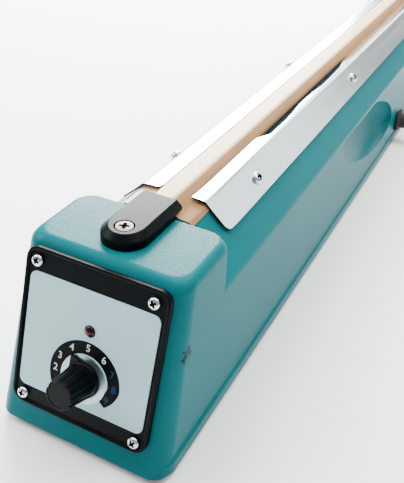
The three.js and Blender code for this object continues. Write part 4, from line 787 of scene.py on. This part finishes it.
def figures(name, chosen, finish_used):
    """Upright figures on the band, each a text made into a thin mesh, joined into one print."""
    made = []
    for figure in chosen:
        angle, reach = math.radians(FIGURES[figure]), FIGURE_RADIUS * drawn_in(FIGURES[figure])
        only(None)
        bpy.ops.object.text_add(location=(
            BAND_MIDDLE[0] + reach * math.cos(angle), BAND_MIDDLE[1] + reach * math.sin(angle),
            DIAL_FACE + PRINT + 0.01))
        text = bpy.context.object.data
        text.body, text.size, text.offset, text.extrude = figure, FIGURE_SIZE, FIGURE_WEIGHT, PRINT / 2
        text.align_x, text.align_y, text.resolution_u = "CENTER", "CENTER", 4
        bpy.ops.object.convert(target="MESH")
        made.append(bake(bpy.context.object))
    only(made[0])
    for other in made:
        other.select_set(True)
    bpy.ops.object.join()
    made[0].name = name
    dressed(placed(close(made[0]), PANEL), finish_used, "printed_dial")


figures("dial_figures_low", "123456", white_ink)
figures("dial_figures_high", "789", blue_ink)
print("dial: a band of", BAND_START - BAND_END, "degrees and", len(FIGURES), "figures")

# %% [markdown]
# The lamp is a clear red dome in a short collar, turned on the lathe helper. The knob is a tapered cylinder
# whose side is pressed in at ten places for grip, on a round skirt with a pointer. Its top has a fine
# raised edge round a shallow dish, made by extruding the end face and drawing it in again and again.
# %% Lamp lens and timer knob
LENS_RADIUS, DOME_LOW, DOME_RISE = 2.55, 0.3, 1.6
KNOB_LOW, KNOB_SKIRT, KNOB_TIP, KNOB_EDGE = 0.7, 2.3, 17.2, 0.6
KNOB_SKIRT_RADIUS, KNOB_RADIUS, KNOB_TOP_RADIUS = 8.2, 7.7, 6.4
KNOB_SUNK = 0.4
FLUTES, FLUTE_DEPTH, FLUTE_START = 10, 0.5, 3.9
FLUTE_STEPS = ((0.35, 0.35), (0.3, 0.6), (0.2, 0.8), (0.15, 0.93))
TIP_STEPS = ((0.35, 0.985), (0.2, 0.965), (0.05, 0.94), (0, 0.985), (-0.25, 0.985), (0, 0.5))
POINTER_ANGLE = math.radians(123.5)

angles = [step * math.pi / 16 for step in range(8)]
lens = tool([(3.1, -7), (3.1, -2), (LENS_RADIUS, -2),
             *[(LENS_RADIUS * math.cos(angle), DOME_LOW + DOME_RISE * math.sin(angle)) for angle in angles],
             (0.3, DOME_LOW + DOME_RISE)], at(*LAMP_MIDDLE, 0))
lens.name = "lamp_lens"
finished(lens, PANEL, lens_red, "red_lens", "indicator_lens")

side_top, side_low = KNOB_TIP - KNOB_EDGE, KNOB_SKIRT - KNOB_SUNK
only(None)
bpy.ops.mesh.primitive_cylinder_add(
    vertices=FLUTES * 12, radius=KNOB_RADIUS, depth=side_top - side_low,
    location=(0, 0, (side_top + side_low) / 2))
knob = added("timer_knob_cap")
for level in (FLUTE_START - 0.5, FLUTE_START + 0.5):
    cut_at(knob, (0, 0, level), (0, 0, 1))
for share, limit in FLUTE_STEPS:
    step = 1 - FLUTE_DEPTH * share / KNOB_RADIUS
    sized(knob, lambda p: p.z > FLUTE_START and math.cos(FLUTES * math.atan2(p.y, p.x)) > limit
          and p.xy.length > 1, (step, step, 1))
taper = KNOB_TOP_RADIUS / KNOB_RADIUS
sized(knob, near(Z, side_top), (taper, taper, 1))
pick(knob, "FACE", every(near(Z, side_top)))
for rise, share in TIP_STEPS:
    extruded(0, 0, rise)
    bpy.ops.transform.resize(value=(share, share, 1), center_override=(0, 0, KNOB_TIP))
skirt_disc = turned("skirt_disc", [
    (KNOB_SKIRT_RADIUS, KNOB_LOW), (KNOB_SKIRT_RADIUS, 1.5), (KNOB_SKIRT_RADIUS - 0.2, 2),
    (KNOB_SKIRT_RADIUS - 0.5, KNOB_SKIRT), (2, KNOB_SKIRT)], 64)
pointer = block("pointer", 5.5, 12, -4.8, 4.8, KNOB_LOW + 0.1, 1.7)
sized(pointer, lambda p: p.x > 11, (1, 0, 1))
carved(knob, skirt_disc, close(pointer), operation="UNION")
carved(knob, turned("shaft_hole", [
    (6.4, -1), (6.4, KNOB_LOW + 3), (3.15, KNOB_LOW + 3), (3.15, KNOB_LOW + 11.3)]))
placed(close(knob), at(*DIAL_MIDDLE, 0) @ turn(POINTER_ANGLE, "Z"))
finished(knob, PANEL, knob_black, "knob_plastic", "timer_knob", body="knob")
print("knob:", len(knob.data.polygons), "faces")

# %% [markdown]
# Every fastener has a cross recess, darkened with grime and painted shade. Three pan heads and one
# countersunk head are modelled, and each screw is a copy with its own mesh and its own length. The plates'
# screws have wider heads than the panel's, and each screw stands at its own turn, as screws are left by a
# driver.
# %% Screws
M3, PLATE_M3, M4, SUNK_M4 = (1.5, 2.7, 1.9), (1.5, 3.25, 2.3), (2.0, 4.0, 2.2), (2.0, 3.75, 2.2)
BLADE_SHARE, BLADE_TAPER = 0.34, 0.55
PANEL_CORNERS = {"upper_left": (-28.4, 31.35), "upper_right": (27.1, 31.35),
                 "lower_left": (-28.4, -31.35), "lower_right": (28.4, -31.35)}
STATIONS = {"front": 116.75, "middle": 283.45, "rear": 498.1}
CAP_SCREWS = {"front": 30.5, "rear": 584.35}
BASE_SCREWS = {"front": 23.47, "rear": 616.1}
SIDES = {"left": -1, "right": 1}
TWIST = 0.9
LENGTHS = {"panel": 5.2, "plate": 5.1, "cap": 10, "base": 9, "arm": 20.6, "grip": 6}


def crossed(piece, reach, top, depth):
    """Sinks a cross driver's tip into a head: two crossed blades that narrow downwards."""
    for half_x, half_y in ((reach, reach * BLADE_SHARE), (reach * BLADE_SHARE, reach)):
        blade = block("blade", -half_x, half_x, -half_y, half_y, top - depth, top + 0.5)
        sized(blade, lambda p: p.z < top, (BLADE_TAPER, BLADE_TAPER, 1))
        carved(piece, blade)
    return piece


def pan_head(name, radius, head, rise):
    return crossed(turned(name, [
        (radius * 0.75, -5), (radius, -4.6), (radius, 0), (head * 0.94, 0), (head, 0.12 * rise),
        (head, 0.3 * rise), (head * 0.95, 0.52 * rise), (head * 0.84, 0.74 * rise),
        (head * 0.66, 0.9 * rise), (head * 0.4, 0.985 * rise), (head * 0.15, rise)], 32),
        head * 0.7, rise, rise * 0.7)


def sunk_head(name, radius, head, rise):
    return crossed(turned(name, [
        (radius * 0.75, -10), (radius, -9.6), (radius, -rise), (head * 0.98, -0.12), (head, 0),
        (head * 0.7, 0.16), (head * 0.2, 0.22)], 32), head * 0.72, 0.2, rise * 0.6)


def screwed(pattern, name, length, place, node_name, finish_used=bright_steel, slot="bright_steel",
            body="body"):
    """A copy of a screw at its length and place, with grime and painted shade in its driver recess."""
    screw = copied(pattern, name)
    low = min(corner.co.z for corner in screw.data.vertices)
    high = max(corner.co.z for corner in screw.data.vertices)
    moved(screw, lambda p: p.z < low + 0.5, (0, 0, -length - low))
    reach = 0.65 * max(corner.co.xy.length for corner in screw.data.vertices)
    # Grime and painted shade: the faces of the driver recess take the near-black finish.
    recess = [face.index for face in screw.data.polygons
              if face.center.xy.length < reach and high - 1.7 < face.center.z < high - 0.3]
    finished(screw, place, finish_used, slot, node_name, body=body)
    grimed_and_shaded(screw, recess)


pan_m3, pan_plate, pan_m4 = pan_head("pan_m3", *M3), pan_head("pan_plate", *PLATE_M3), pan_head("pan_m4", *M4)
sunk_m4 = sunk_head("sunk_m4", *SUNK_M4)
twist = 0.3
for name, (x, v) in PANEL_CORNERS.items():
    twist += TWIST
    screwed(pan_m3, f"panel_screw_{name}", LENGTHS["panel"], PANEL @ at(x, v, 0.3) @ turn(twist, "Z"),
            f"bezel_screw_{name}")
for name, side in SIDES.items():
    for station, y in STATIONS.items():
        twist += TWIST
        screwed(pan_plate, f"{name}_clamp_screw_{station}", LENGTHS["plate"],
                flank(side, y) @ at(8, 0, 1.4) @ turn(twist, "Z"), f"{name}_plate_screw_{station}")
for end, y in CAP_SCREWS.items():
    screwed(sunk_m4, f"{end}_cap_bolt", LENGTHS["cap"], BENCH @ at(0, y, 94.05) @ turn(0.35, "Z"),
            f"{end}_cap_screw", worn_zinc)
for end, y in BASE_SCREWS.items():
    for name, side in SIDES.items():
        screwed(pan_m3, f"plate_screw_{end}_{name}", LENGTHS["base"],
                BENCH @ at(side * 36.7, y, 3) @ UPSIDE_DOWN, f"base_screw_{end}_{name}", zinc, "zinc_steel")
print("screws: 16 on the body so far")

# %% [markdown]
# Each end of the sealing bar is covered by a moulded cap, D-shaped in plan: two corners of a block are
# bevelled until they meet in a half round, and its top is extruded once and drawn in to a broad bevel.
# %% End caps
CAP_HALF, CAP_SIDE, CAP_RISE, CAP_BEVEL = 10.9, 3.8, 6.5, 2.8
CAP_FRONT, CAP_BACK = 21.3, HEAD_BACK + 5.35
CAP_SCREW_Y = CAP_FRONT + 9.2
SWAPPED = at(0, HEAD_BACK + REAR_FRONT, 0) @ turn(math.pi, "Z")


def cap(name):
    piece = block(name, -CAP_HALF, CAP_HALF, CAP_FRONT, CAP_BACK, HEAD_TOP, HEAD_TOP + CAP_SIDE)
    rounded(piece, both(upright, every(near(Y, CAP_FRONT))), CAP_HALF * 0.98, 14)
    pick(piece, "FACE", every(near(Z, HEAD_TOP + CAP_SIDE)))
    extruded(0, 0, CAP_RISE - CAP_SIDE)
    bpy.ops.transform.resize(value=(1 - CAP_BEVEL / CAP_HALF, 1 - CAP_BEVEL / (CAP_BACK - CAP_FRONT), 1),
                             center_override=(0, CAP_BACK, 0))
    rounded(piece, both(every(lambda p: p.z > HEAD_TOP + CAP_SIDE - TOUCH), level_in(Z)), 0.35, 3)
    tunnel = block("tunnel", -7.6, 7.6, CAP_BACK - 20, CAP_BACK + 2, HEAD_TOP - 2, HEAD_TOP + 4.4)
    rounded(tunnel, both(every(lambda p: p.z > HEAD_TOP), runs(Y, 5)), 1.2, 3)
    lift = block("lift", -20, 20, HEAD_BACK, CAP_BACK + 2, HEAD_TOP - 2, HEAD_TOP + 2.1)
    seat = tool([(2.3, HEAD_TOP - 2), (2.3, HEAD_TOP + 3.6), (4.5, HEAD_TOP + 4.1), (4.55, HEAD_TOP + 9)],
                at(0, CAP_SCREW_Y, 0))
    return close(carved(piece, tunnel, lift, seat))


for end, place in (("front", Matrix()), ("rear", SWAPPED)):
    finished(placed(cap(f"{end}_end_cap"), place), BENCH, abs_black, "black_plastic", f"{end}_cap")
print("caps: two")

# %% [markdown]
# Two rolled sheets clamp the cloth to the slopes. Each is drawn as a thin strip that is extruded down round
# the ridge corner and along the slope, then cut across many times, so that its upper lip can follow the
# slightly wavy edge that a pressed sheet has. The ends beyond the last screws spring up a little. Solidify
# gives the sheet its gauge, and the edge faces it makes take a near-black finish as painted shadow.
# %% Clamping plates
PLATE_FRONT, PLATE_LENGTH_DOWN, PLATE_GAUGE = 72, 15.9, 0.8
PLATE_CLEAR, PLATE_CORNER = 0.6, 3.5
BEND_IN, BEND_RISE, ROLL_IN, ROLL_RISE = 0.5, 0.75, 1.4, 0.16
PLATE_BACK = REAR_FRONT - (PLATE_FRONT - HEAD_BACK)
LIP_TOP, LIP_CUTS = 88.4, 188
LIP_STANDS_BACK = (
    (145, 0), (157, 4.5), (180, 4.6), (209, 3.0), (222, 3.2), (243, 4.7), (264, 4.6), (280, 4.0),
    (292, 2.6), (303, 4.6), (316, 5.2), (417, 4.3), (542, 3.8))
END_SPRING, END_REACH = 0.8, 16


def along(line, y):
    """A value that eases from one station (y, value) of a line to the next."""
    if y <= line[0][0]:
        return line[0][1]
    for (start, value), (end, next_value) in zip(line, line[1:]):
        if y < end:
            share = (y - start) / (end - start)
            return value + (next_value - value) * share * share * (3 - 2 * share)
    return line[-1][1]


def smoothed(points, rounds=2):
    """Cuts each corner of an open line into two, round after round."""
    for _ in range(rounds):
        line = [points[0]]
        for (x, z), (next_x, next_z) in zip(points, points[1:]):
            line.append((x * 0.75 + next_x * 0.25, z * 0.75 + next_z * 0.25))
            line.append((x * 0.25 + next_x * 0.75, z * 0.25 + next_z * 0.75))
        points = [*line, points[-1]]
    return points


def levels_of(piece, rule=anywhere):
    return sorted({round(corner.co.y, 3) for corner in piece.data.vertices if rule(corner.co)})


def clamp_plate(name, lip, follows):
    """One plate, from its upper lip round the ridge corner and down the slope."""
    sine, cosine = math.sin(SLOPE), math.cos(SLOPE)
    seat_x, seat_z = RIDGE_HALF + PLATE_CLEAR * sine, RIDGE_TOP + PLATE_CLEAR * cosine
    bend_x, bend_z = seat_x - BEND_IN, seat_z + BEND_RISE
    flat_x, flat_z = bend_x - ROLL_IN, bend_z + ROLL_RISE
    profile = [(lip, LIP_TOP), *smoothed([
        (flat_x, flat_z), (bend_x, bend_z), (bend_x + 2.4 * cosine, bend_z - 2.4 * sine - 0.12),
        (seat_x + 5 * cosine, seat_z - 5 * sine)], 3),
        (seat_x + PLATE_LENGTH_DOWN * cosine, seat_z - PLATE_LENGTH_DOWN * sine)]
    side = SIDES[name]
    profile = [(side * x, z) for x, z in profile]
    piece = straight(f"{name}_clamp_plate", (0, (PLATE_FRONT + PLATE_BACK) / 2, 0),
                     PLATE_BACK - PLATE_FRONT, Y)
    moved(piece, anywhere, (profile[0][0], 0, profile[0][1]))
    pick(piece, "EDGE", anywhere)
    for (x, z), (next_x, next_z) in zip(profile, profile[1:]):
        extruded(next_x - x, 0, next_z - z)
    rounded(piece, every(near(Z, profile[-1][1])), PLATE_CORNER, 5, "VERT")
    levels = levels_of(piece)
    pick(piece, "EDGE", runs(Y, 300))
    bpy.ops.mesh.subdivide(number_cuts=LIP_CUTS)
    if follows:
        only(piece)
        levels = levels_of(piece)
        for level in levels_of(piece, near(Z, LIP_TOP)):
            back = along(LIP_STANDS_BACK, level)
            fall = back * (LIP_TOP - flat_z) / (flat_x - lip)
            moved(piece, lambda p: p.z > LIP_TOP - TOUCH and abs(p.y - level) < TOUCH,
                  (side * back, 0, -fall))
    for level in levels:
        reach = min(level - PLATE_FRONT, PLATE_BACK - level) / END_REACH
        if reach < 1:
            moved(piece, lambda p: abs(p.y - level) < 0.002, (0, 0, END_SPRING * (1 - reach) ** 2))
    close(piece)
    pick(piece, "FACE", anywhere)
    if sum(face.normal.z for face in bmesh.from_edit_mesh(piece.data).faces) < 0:
        bpy.ops.mesh.flip_normals()
    only(piece)
    for filler in (bright_steel, grime_and_shade):
        piece.data.materials.append(filler)
    modified(piece, "SOLIDIFY", thickness=PLATE_GAUGE, offset=1, material_offset_rim=1)
    # Painted shadow: the edge faces take the near-black finish.
    shadow_edges = [face.index for face in piece.data.polygons if face.material_index == 1]
    finished(piece, BENCH, bright_steel, "bright_steel", f"{name}_plate", angle=math.radians(50))
    grimed_and_shaded(piece, shadow_edges)


clamp_plate("left", 7.8, False)
clamp_plate("right", 9.4, True)
print("plates: two, gauge", PLATE_GAUGE, "mm")

# %% [markdown]
# The cloth is stretched over the heated bar and clamped under both plates. It is a sheet, so it is laid
# out as a grid: points across follow the drawn section, smoothed at its bends, and points along add the
# faint ripples that clamping leaves. Where the right lip bulges, the cloth has crept out from under it and
# the painted ridge shows through the gap. Solidify gives it its third of a millimetre.
# %% Sealing cloth
CLOTH_FRONT, CLOTH_THICK, CLOTH_ROWS = 56.2, 0.35, 150
CLOTH_LENGTH = HEAD_BACK + REAR_FRONT - 2 * CLOTH_FRONT
CLOTH_LOW, CLOTH_TOP = RIDGE_TOP + 0.1, 91.0
CREPT_EDGE, CREPT_LEFT = 9.0, 0.97
CREPT_SHARE = ((142, 0), (152, 1), (298, 1), (316, 0))
CLOTH_LIFT, SLACK_MIDDLE, SLACK_REACH, SLACK_RISE = 0.02, 9.5, 3.5, 0.1
RIPPLES = ((0.10, 13, 1), (0.06, 5.1, 2))


def flank_line(flare):
    """The section of one flank, from the middle of the top to the clamped edge."""
    knee = RIDGE_HALF + 0.04
    return [(0, CLOTH_TOP), (3.0, CLOTH_TOP), (4.5, CLOTH_TOP - 0.08), (5.3, CLOTH_TOP - 0.5),
            (5.7 + flare * 0.35, CLOTH_TOP - 1.75), (5.7 + flare * 0.8, CLOTH_LOW + 0.5),
            (5.7 + flare * 1.2, CLOTH_LOW + 0.05), (knee - 1.2, CLOTH_LOW), (knee, CLOTH_LOW - 0.06),
            (knee + 0.9, CLOTH_LOW - 0.8), (knee + 2.6 * math.cos(SLOPE), CLOTH_LOW - 2.6 * math.sin(SLOPE))]


section = smoothed([(-x, z) for x, z in reversed(flank_line(2.9))] + flank_line(5.4)[1:])
points = []
for row in range(CLOTH_ROWS + 1):
    y = CLOTH_FRONT + CLOTH_LENGTH * row / CLOTH_ROWS
    crept = along(CREPT_SHARE, y)
    for x, z in section:
        slack = max(0, 1 - abs(abs(x) - SLACK_MIDDLE) / SLACK_REACH)
        ripple = sum(rise * math.sin(y / length + across * x) for rise, length, across in RIPPLES)
        if x > CREPT_EDGE and crept:
            x -= (x - CREPT_EDGE) * crept * CREPT_LEFT
            z += max(0, CLOTH_LOW - z) * crept
        points.append((x, y, z + CLOTH_LIFT + slack * (SLACK_RISE + ripple)))
across = len(section)
quads = [(r * across + i, r * across + i + 1, (r + 1) * across + i + 1, (r + 1) * across + i)
         for r in range(CLOTH_ROWS) for i in range(across - 1)]
cloth = bpy.data.objects.new("cloth_sheet", bpy.data.meshes.new("cloth_sheet"))
cloth.data.from_pydata(points, [], quads)
bpy.context.scene.collection.objects.link(cloth)
modified(cloth, "SOLIDIFY", thickness=CLOTH_THICK, offset=1)
finished(cloth, BENCH, coated_cloth, "coated_cloth", "sealing_cloth", angle=math.radians(60))

# %% [markdown]
# The arm is a second casting: a long beam with drawn-in top edges, a knuckle that turns between the ears
# and a tongue for the grip. It is drawn in its closed pose about the hinge and lifted by its frame.
# %% Arm casting
ARM_UNDER, ARM_TOP, ARM_HALF, ARM_TOP_HALF = 5.5, 18, 13, 8.5
ARM_SHOULDER, ARM_SHOULDER_HALF = 15, 10
ARM_FRONT, ARM_BACK = 15 - hinge_y, -21
KNUCKLE = 9
BAR_FRONT, BAR_BACK = ARM_FRONT + 30, -42.3
GRIP_LENGTH, GRIP_NOSE = 62, 9
TONGUE_FRONT = ARM_FRONT - GRIP_LENGTH + GRIP_NOSE
INSIDE_HALF, INSIDE_TOP_HALF = 8.2, 7.2
ARM_STATIONS = {"front": 0.12, "middle": 0.5, "rear": 0.88}

arm = block("arm_beam", -ARM_HALF, ARM_HALF, ARM_FRONT, ARM_BACK, -ARM_UNDER, ARM_TOP)
cut_at(arm, (0, 0, ARM_SHOULDER), (0, 0, 1))
sized(arm, near(Z, ARM_TOP), (ARM_TOP_HALF / ARM_HALF, 1, 1))
sized(arm, near(Z, ARM_SHOULDER), (ARM_SHOULDER_HALF / ARM_HALF, 1, 1))
rounded(arm, both(every(lambda p: p.z > ARM_SHOULDER - 0.1), runs(Y, 100)), 1.6, 4)
rounded(arm, both(every(lambda p: p.z > 1 - ARM_UNDER or abs(p.x) > 5), every(near(Y, ARM_FRONT))), 1.2, 3)
knuckle = tool([(KNUCKLE - 0.5, 0.3 - EAR_INNER), (KNUCKLE, 0.8 - EAR_INNER),
                (KNUCKLE, EAR_INNER - 0.8), (KNUCKLE - 0.5, EAR_INNER - 0.3)], CROSSWAYS, 48)
neck = block("neck", -ARM_HALF, ARM_HALF, ARM_BACK - 2, 0, -ARM_UNDER, KNUCKLE)
tongue = block("tongue", -8, 8, TONGUE_FRONT, ARM_FRONT + 2, -1, 11)
carved(arm, knuckle, neck, tongue, operation="UNION")
channel = block("channel", -10.3, 10.3, BAR_FRONT - 0.3, BAR_BACK + 0.3, -ARM_UNDER - 2, 0.2)
inside = block("inside", -INSIDE_HALF, INSIDE_HALF, BAR_FRONT + 3, BAR_BACK - 3, 0, ARM_TOP - 2.6)
sized(inside, lambda p: p.z > 10, (INSIDE_TOP_HALF / INSIDE_HALF, 1, 1))
stations = {name: BAR_FRONT + (BAR_BACK - BAR_FRONT) * share for name, share in ARM_STATIONS.items()}
carved(arm, channel, inside, hole(PIN_HOLE, CROSSWAYS),
       *[tool([(2.3, 0), (2.3, ARM_TOP + 2)], at(0, y, 0), 24) for y in stations.values()])
finished(close(arm), ARM, paint, "painted_casting", "arm_casting", body="arm")
for name, y in stations.items():
    screwed(pan_m4, f"arm_bolt_{name}", LENGTHS["arm"],
            ARM @ at(0, y, ARM_TOP + 0.3) @ turn(0.4 + y / 90, "Z"), f"arm_screw_{name}", body="arm")
print("arm:", len(arm.data.polygons), "faces")

# %% [markdown]
# The grip is a rounded plastic moulding pushed over the tongue and held by one screw from below. A block
# with all its edges bevelled reads as moulded; the nose is drawn in by resizing its end.
# %% Grip
GRIP_HALF, GRIP_LOW, GRIP_HIGH = 16, 9, 17
GRIP_BACK = ARM_FRONT - 0.3
GRIP_FRONT = GRIP_BACK - GRIP_LENGTH
GRIP_MIDDLE = (GRIP_HIGH - GRIP_LOW) / 2
GRIP_SCREW_Y = ARM_FRONT - GRIP_LENGTH / 2

grip = block("hand_grip", -GRIP_HALF, GRIP_HALF, GRIP_FRONT, GRIP_BACK, -GRIP_LOW, GRIP_HIGH)
rounded(grip, runs(Y, 40), 6, 8)
for share, wide, high in ((0.45, 0.975, 0.975), (0.15, 0.86, 0.86), (0, 0.68, 0.62)):
    level = GRIP_FRONT + GRIP_NOSE * share
    if share:
        cut_at(grip, (0, level, 0), (0, 1, 0))
    sized(grip, near(Y, level), (wide, 1, high), (0, level, GRIP_MIDDLE))
for level, offset, segments in ((GRIP_FRONT, 1.6, 4), (GRIP_BACK, 0.8, 3)):
    rounded(grip, every(near(Y, level)), offset, segments)
socket = block("socket", -8.3, 8.3, TONGUE_FRONT - 0.3, ARM_FRONT + 2, -1.3, 11.3)
carved(grip, socket, tool([(3.25, -11), (3.25, -6.7), (1.8, -6.7), (1.8, 0)], at(0, GRIP_SCREW_Y, 0), 24))
finished(close(grip), ARM, abs_black, "black_plastic", "arm_grip", body="arm")
screwed(pan_m3, "grip_bolt", LENGTHS["grip"], ARM @ at(0, GRIP_SCREW_Y, -6.85) @ UPSIDE_DOWN,
        "grip_screw", body="arm")
for pattern in (pan_m3, pan_plate, pan_m4, sunk_m4):
    bpy.data.objects.remove(pattern)
print("grip:", len(grip.data.polygons), "faces")

# %% [markdown]
# The rod that the arm pushes is turned steel with a domed head and a collar for its spring. The spring is
# wound by the Screw modifier, which sweeps a small circle round the axis while it climbs.
# %% Push rod and spring
ROD_HEAD, DOME_RADIUS = 103.086, 4
SPRING_LOW, SPRING_HIGH = 72.0, 98.286
SPRING_CURLS, SPRING_WIRE, SPRING_RADIUS = 9, 1.2, 5.1
SPRING_STEPS = 28 * SPRING_CURLS

angles = [step * math.pi / 16 for step in range(-3, 8)]
rod = turned("sprung_rod", [
    (2.2, 62.886), (2.5, 63.2), (2.5, ROD_HEAD - 4.5), (6.1, ROD_HEAD - 4.5), (6.4, ROD_HEAD - 4.2),
    (6.4, ROD_HEAD - 3.3), (6.1, ROD_HEAD - 3), (2.9, ROD_HEAD - 3),
    *[(DOME_RADIUS * math.cos(angle), ROD_HEAD + DOME_RADIUS * math.sin(angle)) for angle in angles],
    (0.4, ROD_HEAD + 3.98)])
finished(placed(rod, at(0, ROD_Y, 0)), BENCH, bright_steel, "bright_steel", "push_rod", body="rod")

only(None)
bpy.ops.mesh.primitive_circle_add(
    vertices=12, radius=SPRING_WIRE / 2, rotation=(math.pi / 2, 0, 0),
    location=(SPRING_RADIUS, 0, SPRING_LOW + SPRING_WIRE * 0.6))
spring = added("coil_spring")
modified(spring, "SCREW", axis="Z", angle=math.radians(360 * SPRING_CURLS),
         screw_offset=SPRING_HIGH - SPRING_LOW - SPRING_WIRE * 1.2, steps=SPRING_STEPS,
         render_steps=SPRING_STEPS, use_merge_vertices=False)
pick(spring, "EDGE", lambda points: False)
bpy.ops.mesh.select_non_manifold()
bpy.ops.mesh.edge_face_add()
finished(placed(close(spring), at(0, ROD_Y, 0)), BENCH, bright_steel, "bright_steel", "rod_spring",
         angle=math.radians(60))
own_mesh(spring)
print("rod and a spring of", SPRING_CURLS, "curls")

# %% [markdown]
# Small turned pieces finish the outside: the hinge pin with its head, the cord bush, and four rubber feet
# that are modelled once and copied.
# %% Pin, bush and feet
PIN_PROFILE = [
    (5.4, -24.5), (6, -24), (6, -22.5), (4, -22.5), (4, 22.35), (3.4, 22.35), (3.4, 23.65),
    (4, 23.65), (4, 24.5), (3.7, 24.8)]
BUSH_PROFILE = [
    (3.2, -9.2), (5, -9.2), (5, 0), (8.6, 0), (9, 0.5), (9, 2), (8.5, 2.5), (6.4, 2.5), (6, 3),
    (5.7, 8), (5.75, 8.6), (5.4, 9), (5.3, 13), (5.35, 13.6), (5, 14), (4.9, 18), (4.95, 18.6),
    (4.65, 19), (4.6, 23.4), (4.2, 24), (3.2, 24), (3.2, -9.2)]
FOOT_PROFILE = [
    (6.7, 0), (7.1, 0.15), (7.4, 0.5), (7.5, 0.9), (7.5, 3), (2.5, 3), (2.5, 4.5), (4, 4.5), (2.5, 7.5)]
FEET = {"front": 7.466, "rear": 632.1}
FOOT_X = 27.9

finished(turned("hinge_pin_turned", PIN_PROFILE), BENCH @ at(*HINGE) @ CROSSWAYS, bright_steel,
         "bright_steel", "hinge_pin")
bush_seat = side_at(CORD_Z) + 0.3 + DRAFT * 9
finished(turned("cord_sleeve", BUSH_PROFILE, bored=True), BENCH @ at(bush_seat, CORD_Y, CORD_Z) @ CROSSWAYS,
         rubber, "black_plastic", "cord_bush")
foot_pattern = turned("foot_pattern", FOOT_PROFILE)
for end, y in FEET.items():
    for name, side in SIDES.items():
        finished(copied(foot_pattern, f"rubber_foot_{end}_{name}"), BENCH @ at(side * FOOT_X, y, 0),
                 rubber, "black_rubber", f"foot_{end}_{name}")
bpy.data.objects.remove(foot_pattern)
print("pin, bush and four feet")

# %% [markdown]
# What is left keeps its solid, because its shape is already right, and takes its real finish.
# %% Finishes on the solids that stay
KEPT = (
    (zinc, "base_plate potentiometer potentiometer_nut transformer_strap microswitch_bracket pin_clip"),
    (aluminium, "potentiometer_shaft pressure_bar"), (board, "timer_board"),
    (bakelite, "sealing_bar front_terminal_insulator rear_terminal_insulator"),
    (bright_steel, "heating_element"), (brass, "front_lead rear_lead"), (laminations, "transformer_core"),
    (winding, "transformer_coil"), (abs_black, "microswitch"), (lens_red, "microswitch_button"),
    (silicone, "pressing_rubber"))
kept = {name: finish_used for finish_used, names in KEPT for name in names.split()}
for name, finish_used in kept.items():
    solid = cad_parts[name]
    solid.data.materials.clear()
    solid.data.materials.append(finish_used)
shown = [name for name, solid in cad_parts.items() if not solid.hide_render]
print("solids kept:", len(kept), "shown:", len(shown), "without a finish:", sorted(set(shown) - set(kept)))

# %% [markdown]
# The stage is plain: a pale floor, an even pale sky, and six large soft lights. The brightest stands behind
# the machine, opposite the camera, so that the level tops mirror it and turn almost white.
# %% Stage and lights
only(None)
bpy.ops.mesh.primitive_plane_add(size=12, location=(0, 0, 0))
floor = bpy.context.object
floor.name = "floor"
pale, tree, where = opened("matt_white_card")
surfaced(tree, Base_Color="#fafafa", Roughness=0.8, Specular_IOR_Level=0.2)
floor.data.materials.append(pale)

world = bpy.data.worlds.new("pale_sky")
world.use_nodes = True
sky = world.node_tree.nodes["Background"].inputs
sky["Color"].default_value = (1, 1, 1, 1)
sky["Strength"].default_value = 0.5
bpy.context.scene.world = world


def softbox(name, place, aim, size, power):
    """A square area light that faces a point."""
    only(None)
    bpy.ops.object.light_add(type="AREA", location=place)
    lamp = bpy.context.object
    lamp.name = name
    lamp.data.size = size
    lamp.data.energy = power
    lamp.rotation_euler = (Vector(place) - Vector(aim)).to_track_quat("Z", "Y").to_euler()


softbox("top_softbox", (0, 0.1, 1.15), (0, 0.05, 0), 1.0, 32)
softbox("back_softbox", (-0.75, 1.1, 0.75), (0, -0.2, 0.08), 0.9, 165)
softbox("middle_card", (0.05, 1.3, 0.66), (0, 0, 0.08), 0.6, 8)
softbox("slope_card", (0.75, 0.95, 0.5), (0, 0, 0.08), 0.7, 4)
softbox("right_softbox", (0.65, 0.05, 1.05), (0, 0, 0.05), 0.6, 4)
softbox("left_softbox", (-0.9, -0.5, 0.8), (0, -0.3, 0.05), 0.6, 16)
print("stage: a floor, a sky and six softboxes")
